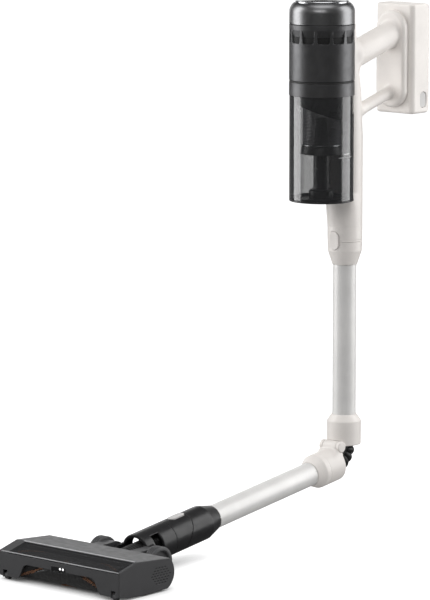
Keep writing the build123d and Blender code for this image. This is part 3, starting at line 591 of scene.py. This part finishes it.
def battery_field(p):
    x, y, z = (p[..., i] - PACK_MIDDLE[i] for i in range(3))
    tall = abs(z) - PACK_HALF[2]
    column = corner(abs(x) - PACK_HALF[0], abs(y) - PACK_HALF[1], PACK_SIDE_R)
    block = corner(column, tall, PACK_END_R)
    block = trim(block, corner(y - PACK_HALF[1], tall, PACK_REAR_R), 1.5)
    seam = np.maximum(-block - 0.35, abs(y - 14.2) - 0.3)
    block = cut(block, seam, 0.2)
    key = slot_outline(p[..., 1] - PACK_KEY_Y, p[..., 2] - PACK_KEY_Z, 4.3, 6.8)
    block = cut(block, np.maximum(key, PACK_KEY_FLOOR - abs(x)), 0.9)
    slide = np.maximum(np.maximum(abs(x) - 16.4, p[..., 1] - 324.4), abs(p[..., 2] - 630) - 30.4)
    jack = np.maximum(np.hypot(x, p[..., 1] - 324.5) - 2.75, p[..., 2] - 563)
    return cut(cut(block, slide, 0.3), jack, 0.3)


moulding("battery_shell", battery_field, (-33.5, 316, 552), (33.5, 358, 705), "cream_shell",
         "battery", ("battery_case",))


# ---- elbow sockets -----------------------------------------------------------------------
SOCKET_R = 23.3
SOCKET_TIP_R = 16.9
TUBE_BORE_R = 16.02
HOSE_BORE_R = 17.2
KNUCKLE_R = 7.6
EAR_X = (11.5, 17.5)


def upper_socket_field(p):
    x, y, z = p[..., 0], p[..., 1], p[..., 2]
    radius = np.hypot(x, y - WAND_Y)
    barrel = np.hypot(y - HINGE_Y, z - HINGE_Z)
    outer = np.interp(z, (100, 140.5, 149.6, 160), (SOCKET_R, SOCKET_R, SOCKET_TIP_R, 9.5))
    body = (radius - outer) * 0.88
    body = trim(trim(body, z - 149.6, 0.7), HINGE_Z + 0.2 - z, 1.2)
    ears = trim(np.maximum(barrel - KNUCKLE_R, EAR_X[0] - abs(x)), abs(x) - EAR_X[1], 1.6)
    body = join(body, ears, 1.5)
    body = np.maximum(body, np.minimum(HINGE_Z + 0.25 - z, barrel - KNUCKLE_R))
    body = cut(body, np.maximum(barrel - KNUCKLE_R - 0.3, abs(x) - EAR_X[0]), 0.3)
    return cut(body, radius - np.where(z < 118, HOSE_BORE_R, TUBE_BORE_R), 0.3)


def lower_socket_field(p):
    x, y, z = p[..., 0], p[..., 1], p[..., 2]
    run = along(p, ELBOW, DOWN_WAND)
    radius = bar(p, ELBOW, DOWN_WAND, 0)
    barrel = np.hypot(y - HINGE_Y, z - HINGE_Z)
    profile = np.interp(run, (0, 54, 54.3, 55, 55.3, 62, 75, 80),
                        (SOCKET_R, SOCKET_R, 23.0, 23.0, SOCKET_R, SOCKET_R, SOCKET_TIP_R, 14.4))
    body = trim(trim((radius - profile) * 0.9, run - 75, 0.7), HINGE_T + 0.2 - run, 4.0)
    rise = (p - np.array(ELBOW)) @ np.array(ABOVE_WAND)
    brow = np.maximum(rise + 0.8 * (run - HINGE_T - 7.0) - 24.7, 5 - rise) * 0.8
    web = np.maximum(trim(abs(x) - EAR_X[1] + 0.4, brow, 5.0), HINGE_T + 0.4 - run)
    body = join(join(body, web, 3.0), np.maximum(barrel - KNUCKLE_R, abs(x) - EAR_X[0] + 0.3), 2.0)
    body = np.maximum(body, np.minimum(HINGE_T + 0.25 - run, barrel - KNUCKLE_R))
    body = cut(body, np.maximum(barrel - KNUCKLE_R - 0.3, EAR_X[0] - 0.3 - abs(x)), 0.3)
    return cut(body, radius - np.where(run < 33, HOSE_BORE_R, TUBE_BORE_R), 0.3)


moulding("upper_elbow", upper_socket_field, (-25, 179, 99), (25, 238, 151), "cream_shell",
         "upper_wand", ("upper_socket",), 0.8)
moulding("lower_elbow", lower_socket_field, (-25, 130, 46), (25, 200, 117), "cream_shell",
         "lower_wand", ("lower_socket",), 0.8)


# ---- connector between wand and head -----------------------------------------------------
CONN_R = 23.2
SEAM_T = 343.0
SEAM_OUT = (DOWN_WAND + ABOVE_WAND * 0.55).normalized()
SLEEVE_BORE_R = 20.0
SLEEVE_END = 372.0
CONN_KEY_T = 346.0
FORK_END = 428.0


def connector_collar_field(p):
    run = along(p, ELBOW, DOWN_WAND)
    radius = bar(p, ELBOW, DOWN_WAND, 0)
    profile = np.interp(run, (270, 277, 300, 380), (15.0, 16.9, CONN_R, CONN_R))
    shell = trim((radius - profile) * 0.95, 277 - run, 0.6)
    shell = trim(shell, along(p, along_wand(SEAM_T), SEAM_OUT) + 0.12, 0.5)
    return cut(shell, radius - SOCKET_BORE_R, 0.3)


def connector_sleeve_field(p):
    run = along(p, ELBOW, DOWN_WAND)
    radius = bar(p, ELBOW, DOWN_WAND, 0)
    shell = trim(radius - CONN_R, run - SLEEVE_END, 0.15)
    shell = trim(shell, 0.12 - along(p, along_wand(SEAM_T), SEAM_OUT), 0.5)
    rise = (p - np.array(ELBOW)) @ np.array(ABOVE_WAND)
    key = np.maximum(slot_outline(p[..., 0], run - CONN_KEY_T, 7.7, 6.1), 17 - rise)
    return cut(cut(shell, key, 0.5), radius - SLEEVE_BORE_R, 0.3)


moulding("connector_shell", connector_collar_field, (-24, -154, 10), (24, -54, 74),
         "connector_black", "connector", ("connector_collar",))
moulding("connector_tail", connector_sleeve_field, (-24, -164, 8), (24, -100, 70),
         "connector_black", "connector", ("connector_sleeve",))


def yoke_field(p):
    x, y, z = p[..., 0], p[..., 1], p[..., 2]
    run = along(p, ELBOW, DOWN_WAND)
    rise = (p - np.array(ELBOW)) @ np.array(ABOVE_WAND)
    radius = bar(p, ELBOW, DOWN_WAND, 0)
    shell = trim(trim(radius - CONN_R, run - FORK_END, 1.0), SLEEVE_END + 0.2 - run, 0.15)
    shell = cut(shell, radius - 19.0, 0.4)
    lean = np.abs(np.arctan2(abs(x), rise)) * 180 / pi
    window = np.maximum(abs(run - 404.7) - 7.25, abs(lean - 66) * radius * pi / 180 - 11.6)
    shell = cut(shell, window, 1.6)
    hub = np.hypot(y - PIVOT.y, z - PIVOT.z) - 12.6
    reach = (run - 416) / 23.4
    root = np.maximum(abs(rise + 2.0 - reach * 0.2) - 11.4, np.maximum(416 - run, run - 439.4))
    arm = np.maximum(join(hub, root, 2.5), abs(abs(x) - 20.8) - 2.2)
    spigot = np.maximum(np.maximum(radius - 19.9, 17.6 - radius), abs(run - 367.2) - 6.2)
    stub = np.maximum(np.hypot(y - PIVOT.y, z - PIVOT.z) - 4.0, abs(abs(x) - 24.1) - 5.5)
    return np.minimum(np.minimum(join(shell, arm, 2.0), spigot), stub)


moulding("neck_yoke", yoke_field, (-30, -236, 1.4), (30, -140, 62), "connector_black", "neck",
         ("neck_fork",), 0.8)


# ---- hoses -------------------------------------------------------------------------------
HOSE_R = 12.0
ELBOW_HOSE_R = 15.0
BEND_R = WAND_Y - HINGE_Y
HOSE_REACH = 10
bend = [Vector((0, WAND_Y, HINGE_Z + HOSE_REACH - i)) for i in range(HOSE_REACH)]
bend += [Vector((0, HINGE_Y + BEND_R * cos(a), HINGE_Z - BEND_R * sin(a)))
         for a in np.linspace(0, pi / 2 - DROOP, 40)]
bend += [along_wand(HINGE_T + i) for i in range(1, HOSE_REACH + 1)]
elbow_hose = hose("elbow_bellows", bend, ELBOW_HOSE_R, 1.6, 8.6, 2.6, ("elbow_hose",))
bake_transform(elbow_hose)
neck_hose = hose("neck_bellows", [along_wand(386 + i) for i in range(81)], HOSE_R, 1.6, 4.4, 1.4,
                 ("neck_hose",), lean=2.2)
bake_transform(neck_hose)

# ---- motor housing -----------------------------------------------------------------------
VENT_COUNT = 10
VENT_PITCH = 28.3
VENT_HALF_WIDTH = 7.9
VENT_LOW = 662.0
LOUVRE_TOP = 670.8
SCOOP_TOP = 680.0
VENT_CORNER_R = 1.8
HOUSING_COLUMNS = 900
HOUSING_BORE_R = 40.4


def vent_depth(angle, height):
    """How far in the housing's surface is at an angle in degrees from the front."""
    turn = (angle + 180) % 360 - 180
    place = np.floor(turn / VENT_PITCH)
    across = abs(turn / VENT_PITCH - place - 0.5) * VENT_PITCH * CAN_R * pi / 180
    taper = VENT_HALF_WIDTH + 0.09 * np.clip(height - VENT_LOW, 0, None)
    edge = corner(across - taper, VENT_LOW - height, VENT_CORNER_R)
    share = np.clip(-edge / 0.4, 0, 1)
    scoop = 2.3 * np.clip((SCOOP_TOP - height) / (SCOOP_TOP - LOUVRE_TOP), 0, 1)
    depth = np.where(height < LOUVRE_TOP, 3.4, scoop)
    return np.where(abs(place + 0.5) < VENT_COUNT / 2, share * depth, 0)


def motor_housing():
    rows = [(HOUSING_BOTTOM, HOUSING_BORE_R), (HOUSING_BOTTOM, CAN_R - 0.5),
            (HOUSING_BOTTOM + 0.5, CAN_R)]
    rows += [(height, CAN_R) for height in np.arange(660.5, 682.5, 0.45)]
    rows += [(HOUSING_TOP - 0.6, CAN_R), (HOUSING_TOP - 0.1, CAN_R - 0.5),
             (HOUSING_TOP - 0.1, HOUSING_BORE_R)]
    height = np.array([row[0] for row in rows])[:, None]
    radius = np.array([row[1] for row in rows])[:, None]
    angle = np.arange(HOUSING_COLUMNS)[None, :] * 360 / HOUSING_COLUMNS
    radius = radius - vent_depth(angle, height)
    turn = np.radians(angle)
    points = [radius * np.sin(turn), CAN_Y - radius * np.cos(turn), height + 0 * radius]
    points = np.stack(points, axis=-1).reshape(-1, 3).tolist()
    rings = np.arange(len(points)).reshape(len(rows), HOUSING_COLUMNS).tolist()
    mesh_piece("housing_shell", points, wrapped(rings), "housing_grey", "main_unit",
               ("motor_housing",), 30.0)


motor_housing()

# ---- motor cap ---------------------------------------------------------------------------
CAN_CENTRE = (0, CAN_Y, 0)
cap_profile = [(41.7, HOUSING_TOP), (43.2, HOUSING_TOP), (CAN_R, HOUSING_TOP + 0.9)]
cap_profile += [(32.1 + 12.0 * cos(a), 702.5 + 14.0 * sin(a))
                for a in np.linspace(0, radians(69), 14)]
cap_profile += [(36.4, 714.9), (31.3, 714.9), (31.3, 715.4), (9.4, 715.4), (9.4, 711.5),
                (38.0, 711.0), (41.7, 700.0)]
turned("cap_shell", CAN_CENTRE, UP, cap_profile, "cap_gunmetal", "main_unit", ("motor_cap",), 128)

# ---- dust cup ----------------------------------------------------------------------------
CUP_BORE_R = 41.5
CUP_FLOOR = CUP_BOTTOM + 2.4
RIM_TOP = CUP_BOTTOM + 5.5
cup_profile = rounded([(CUP_BORE_R, CUP_FLOOR, 0.4), (CUP_R, CUP_FLOOR, 0.6), (CUP_R, CUP_TOP, 0.3),
                       (CUP_BORE_R, CUP_TOP, 0.3)])
turned("cup_wall", CAN_CENTRE, UP, cup_profile, "cup_clear", "cup", ("dust_cup",), 160)
base_profile = rounded([(0, CUP_BOTTOM + 0.8, 0), (34, CUP_BOTTOM + 0.8, 0.3), (34.6, CUP_BOTTOM, 0.3),
                        (CUP_R, CUP_BOTTOM, 0.9), (CUP_R, CUP_FLOOR, 0.3), (41.4, CUP_FLOOR, 0.2),
                        (41.4, RIM_TOP, 0.4), (38, RIM_TOP, 0.4), (38, CUP_FLOOR, 0.6),
                        (0, CUP_FLOOR, 0)])
turned("cup_floor", CAN_CENTRE, UP, base_profile, "cup_black", "cup", ("cup_base",), 128)
seal_profile = rounded([(37, 608.6, 0.2), (CAN_R - 0.5, 608.6, 0.4), (CAN_R - 0.5, 611.0, 0.4),
                        (37, 611.0, 0.2)])
turned("seal_band", CAN_CENTRE, UP, seal_profile, "seal_rubber", "cup", ("cup_seal",), 128)
rim_profile = rounded([(24.4, 522.4, 0.2), (26.4, 522.4, 0.4), (26.4, 524.6, 0.5),
                       (24.4, 524.6, 0.2)])
turned("screen_rim", CAN_CENTRE, UP, rim_profile, "trim_silver", "cup")


def perforated_screen():
    """Steel screen round the cyclone: a lattice of fine bars."""
    columns, rows, low, high = 84, 42, 523.5, 605.2
    radius = 25.0
    points = []
    for row in range(rows + 1):
        for column in range(columns):
            angle = 2 * pi * (column + 0.5 * (row % 2)) / columns
            height = low + (high - low) * row / rows
            points.append((radius * cos(angle), CAN_Y + radius * sin(angle), height))
    rings = [list(range(row * columns, (row + 1) * columns)) for row in range(rows + 1)]
    faces = wrapped(rings)[:rows * columns]
    screen = mesh_piece("cyclone_screen", points, faces, "mesh_steel", "cup", ("mesh_screen",), 60.0)
    bars = screen.modifiers.new("bars", "WIREFRAME")
    bars.thickness = 0.9 * MM
    bars.use_boundary = True


perforated_screen()


# ---- fill mark on the cup ----------------------------------------------------------------
def fill_mark():
    """Short line with a small wedge over it, standing a hair proud of the cup."""
    def on_cup(along_y, height):
        angle = (along_y - CAN_Y) / CUP_R
        return ((CUP_R + 0.08) * cos(angle), CAN_Y + (CUP_R + 0.08) * sin(angle), height)

    points, faces = [], []
    for corners in (((148.8, 509.1), (174.2, 509.1), (174.2, 509.8), (148.8, 509.8)),
                    ((158.0, 511.2), (165.6, 511.2), (167.0, 514.6), (156.6, 514.6))):
        start = len(points)
        columns = 9
        for i in range(columns):
            t = i / (columns - 1)
            points.append(on_cup(corners[0][0] * (1 - t) + corners[1][0] * t, corners[0][1]))
            points.append(on_cup(corners[3][0] * (1 - t) + corners[2][0] * t, corners[2][1]))
        faces += [[start + 2 * i, start + 2 * i + 2, start + 2 * i + 3, start + 2 * i + 1]
                  for i in range(columns - 1)]
    mark = mesh_piece("cup_fill_mark", points, faces, FILL_INK, "cup")
    layer = mark.modifiers.new("ink", "SOLIDIFY")
    layer.thickness = 0.06 * MM


FILL_INK = moulded_plastic("fill_ink", rgb(0.86), 0.5)
fill_mark()

# ---- roller brush ------------------------------------------------------------------------
BRISTLE_REACH = 18.9
BRISTLE_ROWS = 3
NAP_R = 18.2
NAP_BORE_R = 9.9
BRISTLE_X = (-83.0, 86.6)
BRISTLE_MIDDLE = 1.8
BRISTLE_LEAD = 42
BRISTLE_ROOT = 9.6


def tuft_rows(name, finish, stands_for=()):
    """Rows of bristle tufts that run round the roller in a wide V."""
    rng = np.random.default_rng(7)
    points, faces = [], []
    sides = 5
    for row in range(BRISTLE_ROWS):
        for lane in range(2):
            for x in np.arange(BRISTLE_X[0], BRISTLE_X[1], 2.1):
                place = x + rng.uniform(-0.5, 0.5)
                angle = 2 * pi * row / BRISTLE_ROWS + abs(x - BRISTLE_MIDDLE) / BRISTLE_LEAD
                angle = angle + lane * 0.07 + rng.uniform(-0.03, 0.03)
                lean = rng.uniform(-0.05, 0.05)
                tilt = rng.uniform(-0.8, 0.8)
                start = len(points)
                tip = BRISTLE_REACH - rng.uniform(0, 0.7)
                for reach, width in ((BRISTLE_ROOT, 0.75), (15.0, 0.85), (tip, 0.7)):
                    grown = (reach - BRISTLE_ROOT) / 9
                    spin = angle + lean * grown
                    middle = Vector((place + tilt * grown, reach * cos(spin), reach * sin(spin)))
                    around = Vector((0, -sin(spin), cos(spin)))
                    for k in range(sides):
                        turn = 2 * pi * k / sides
                        beside = SIDE * cos(turn) + around * sin(turn)
                        points.append(ROLLER + middle + beside * width)
                rings = [[start + level * sides + k for k in range(sides)] for level in range(3)]
                faces += wrapped(rings)[:2 * sides]
                faces += [rings[2], rings[0][::-1]]
    mesh_piece(name, points, faces, finish, "roller", stands_for, 50.0)


def roller_nap():
    """Short dark pile round the roller, parted where the bristle rows come through; its near-black
    colour partly paints the shade under the head.
    """
    columns, count = 130, 120
    low, high = BRISTLE_X
    rng = np.random.default_rng(3)
    points = []
    for i in range(columns + 1):
        x = low + (high - low) * i / columns
        for k in range(count):
            angle = 2 * pi * k / count
            row = (angle - abs(x - BRISTLE_MIDDLE) / BRISTLE_LEAD) / (2 * pi / BRISTLE_ROWS)
            parting = np.exp(-((row - round(row)) / 0.07) ** 2)
            reach = NAP_R - 2.4 * parting + rng.uniform(-0.35, 0.35)
            points.append(ROLLER + Vector((x, reach * cos(angle), reach * sin(angle))))
    for x in (high, low):
        for k in range(count):
            angle = 2 * pi * k / count
            points.append(ROLLER + Vector((x, NAP_BORE_R * cos(angle), NAP_BORE_R * sin(angle))))
    rings = [list(range(i * count, (i + 1) * count)) for i in range(columns + 3)]
    mesh_piece("roller_nap", points, wrapped(rings), SHADE_DARKENED_BRISTLE, "roller", (), 70.0)


tuft_rows("bristle_rows", FINISH["bristle"], ("roller_bristles",))
roller_nap()

# ---- rear wheels -------------------------------------------------------------------------
WHEEL_R = 21.0
WHEEL_X = (41.4, 55.4)
inner_x, outer_x = WHEEL_X
wheel_profile = [(3.06, inner_x + 1), (7, inner_x + 1), (8, inner_x + 5), (14.2, inner_x + 5),
                 (15.2, inner_x), (WHEEL_R - 1.2, inner_x), (WHEEL_R - 0.3, inner_x + 0.5),
                 (WHEEL_R, inner_x + 1.6)]
for groove in (4.2, 7.0, 9.8):
    wheel_profile += [(WHEEL_R, inner_x + groove - 0.7), (WHEEL_R - 1.0, inner_x + groove - 0.4),
                      (WHEEL_R - 1.0, inner_x + groove + 0.4), (WHEEL_R, inner_x + groove + 0.7)]
wheel_profile += [(WHEEL_R, outer_x - 1.6), (WHEEL_R - 0.3, outer_x - 0.5), (WHEEL_R - 1.2, outer_x),
                  (16.4, outer_x), (16.0, outer_x - 0.8), (15.4, outer_x - 0.8), (14.6, outer_x - 4),
                  (8, outer_x - 4), (7, outer_x - 1), (3.06, outer_x - 1)]
turned("wheel_tyre_right", PIVOT, SIDE, wheel_profile, "wheel_grey", "wheel_right",
       ("rear_wheel_right",))
turned("wheel_tyre_left", PIVOT, -SIDE, wheel_profile, "wheel_grey", "wheel_left",
       ("rear_wheel_left",))

# ---- head trims --------------------------------------------------------------------------
FRONT_EDGE = (-356.7, 37.3)
RIDGE = (-323.7, 46.0)
MID_LEFT = -88.0
MID_RIGHT = 101.4
# pale finish for the edge beads: a painted highlight along the ridge and the front edge
HEAD_EDGE_HIGHLIGHT = satin_metal("head_edge_painted_highlight", rgb(0.42, 0.42, 0.43), 0.45, 0.2, (0.02, 1.0, 1.0),
                        0.004)


def edge_bead(name, edge, radius, x_from, x_to):
    """Slim half-round bead along an edge of the head, pale so that it paints the edge's highlight."""
    ring = [(edge[0] + radius * cos(a), edge[1] - 0.45 * radius + radius * sin(a))
            for a in np.linspace(0, 2 * pi, 20, endpoint=False)]
    count = len(ring)
    points = [(x, y, z) for x in (x_from, x_to) for y, z in ring]
    faces = [list(range(count)), list(range(count, 2 * count))]
    faces += [[i, (i + 1) % count, count + (i + 1) % count, count + i] for i in range(count)]
    mesh_piece(name, points, faces, HEAD_EDGE_HIGHLIGHT, "head")


# pale beads on the ridge and front edge: painted highlights
edge_bead("ridge_highlight_bead", RIDGE, 1.25, MID_LEFT - 3.0, MID_RIGHT)
edge_bead("front_highlight_bead", (FRONT_EDGE[0] + 0.7, FRONT_EDGE[1]), 0.75, MID_LEFT - 12.0, MID_RIGHT + 1.6)


GRILLE_Y = -279.0
GRILLE_Z = 22.0


def grille_shade_plugs():
    """Dark plugs just inside the slots of the right end cap: painted shade in the slots."""
    points, faces = [], []
    for row in range(-3, 4):
        for column in range(-3, 4):
            hole_y, hole_z = 5.6 * (column + 0.5 * (row % 2)), 3.3 * row
            if (hole_y / 17.5) ** 2 + (hole_z / 11.5) ** 2 >= 1:
                continue
            start = len(points)
            count = 16
            for x in (102.0, 104.7):
                for i in range(count):
                    angle = 2 * pi * i / count
                    shift = 1.1 if cos(angle) > 0 else -1.1
                    points.append((x, GRILLE_Y + hole_y + shift + 0.88 * cos(angle),
                                   GRILLE_Z + hole_z + 0.88 * sin(angle)))
            ends = [[start + level * count + i for i in range(count)] for level in range(2)]
            faces += [ends[0][::-1], ends[1]]
            faces += wrapped(ends)[:count]
    mesh_piece("grille_painted_shade", points, faces, GRILLE_SHADE, "head")


# near-black felt for the plugs: painted shade inside the grille slots
GRILLE_SHADE = felt("grille_painted_shade", rgb(0.006))
grille_shade_plugs()

# ---- head lamp ---------------------------------------------------------------------------
frame["nodes"]["light_bar"].data.materials[0] = FINISH["lens_black"]
dot_profile = rounded([(0, 0, 0), (1.5, 0, 0.2), (1.5, 0.9, 0.3), (0, 1.0, 0)])
for dot_name, dot_x in (("lamp_dot_inner", 3.0), ("lamp_dot_outer", 8.0)):
    turned(dot_name, (dot_x, -356.2, 27.8), (0, -1, 0), dot_profile, "lamp_clear", "head", count=32)

# ---- floor -------------------------------------------------------------------------------
FLOOR_RADIUS = 40000.0
FLOOR_GAP = 0.3


def floor_finish():
    """Pale matt paper: it looks white to the camera and lights the object only a little; its glow dims
    close to the object, a painted contact shadow.
    """
    n = Nodes("pale_paper")
    rays = n.add("LightPath").outputs
    tone = n.blend(n.ramp(n.noise(260, 3), 0.0, 1.0), rgb(0.45), rgb(0.44))
    tone = n.blend(rays["Is Glossy Ray"], tone, rgb(0.10))
    # ambient occlusion dims the floor's glow near the object: a painted contact shadow
    painted_shadow_openness = n.add("AmbientOcclusion", {"Distance": 0.03}, samples=8).outputs["AO"]
    glow = n.math("MULTIPLY", n.math("MULTIPLY", rays["Is Camera Ray"], 0.90), painted_shadow_openness)
    return n.finish(Base_Color=tone, Roughness=0.9, Normal=n.bump(n.noise(3, 3), 0.05, 0.3),
                    Specular_IOR_Level=0.1, Emission_Color=rgb(1.0), Emission_Strength=glow)


sides = 96
turns = [2 * pi * i / sides for i in range(sides)]
edge_points = [(FLOOR_RADIUS * cos(a), FLOOR_RADIUS * sin(a), -FLOOR_GAP) for a in turns]
floor = mesh_piece("floor", edge_points, [list(range(sides))], floor_finish(), None)

# ---- camera ------------------------------------------------------------------------------
PICTURE_LENS = 244.84
CAMERA_TURN = radians(41.18)
CAMERA_RISE = radians(8.853)
CAMERA_DISTANCE = 5.5899
CAMERA_TARGET = Vector((-0.1545, 0.1217, 0.301))

camera = bpy.data.objects.new("camera", bpy.data.cameras.new("camera"))
bpy.context.scene.collection.objects.link(camera)
level = cos(CAMERA_RISE)
back = Vector((sin(CAMERA_TURN) * level, -cos(CAMERA_TURN) * level, sin(CAMERA_RISE)))
camera.location = CAMERA_TARGET + back * CAMERA_DISTANCE
camera.rotation_mode = "QUATERNION"
camera.rotation_quaternion = (-back).to_track_quat("-Z", "Y")
camera.data.lens = PICTURE_LENS
camera.data.sensor_width = 36.0
camera.data.clip_end = 100
bpy.context.scene.camera = camera


# ---- light -------------------------------------------------------------------------------
def softbox(name, turn_degrees, distance, height, width, tall, radiance):
    """Upright panel light that faces the object, placed by its angle from the camera."""
    turn = CAMERA_TURN + radians(turn_degrees)
    place = Vector((sin(turn) * distance, -cos(turn) * distance, height))
    lamp = bpy.data.lights.new(name, "AREA")
    lamp.shape = "RECTANGLE"
    lamp.size = width
    lamp.size_y = tall
    lamp.energy = radiance * pi * width * tall
    panel = bpy.data.objects.new(name, lamp)
    panel.location = place
    aim = Vector((0, 0.1, 0.4 if height > 1.5 else height)) - place
    panel.rotation_mode = "QUATERNION"
    panel.rotation_quaternion = aim.to_track_quat("-Z", "Y")
    panel.visible_camera = False
    bpy.context.scene.collection.objects.link(panel)


softbox("softbox_right", 102, 1.8, 1.15, 1.3, 2.3, 2.75)
softbox("softbox_left", -104, 1.8, 1.15, 1.2, 2.3, 3.6)
softbox("softbox_top", 20, 0.5, 3.0, 2.0, 1.6, 1.7)
softbox("softbox_front", -8, 3.5, 2.4, 2.4, 1.2, 2.6)
softbox("softbox_back", 180, 3.2, 0.9, 3.0, 1.0, 1.2)

world = bpy.data.worlds.new("studio")
bpy.context.scene.world = world
world.use_nodes = True
sky = world.node_tree.nodes["Background"]
seen_by = world.node_tree.nodes.new("ShaderNodeLightPath")
fill = 0.46
for ray, level in (("Is Camera Ray", 1.0), ("Is Glossy Ray", 0.12)):
    choice = world.node_tree.nodes.new("ShaderNodeMapRange")
    choice.inputs["To Max"].default_value = level
    world.node_tree.links.new(seen_by.outputs[ray], choice.inputs["Value"])
    if isinstance(fill, float):
        choice.inputs["To Min"].default_value = fill
    else:
        world.node_tree.links.new(fill, choice.inputs["To Min"])
    fill = choice.outputs["Result"]
world.node_tree.links.new(fill, sky.inputs["Strength"])
sky.inputs["Color"].default_value = (1.0, 1.0, 1.0, 1.0)
bpy.context.scene.view_settings.view_transform = "Standard"
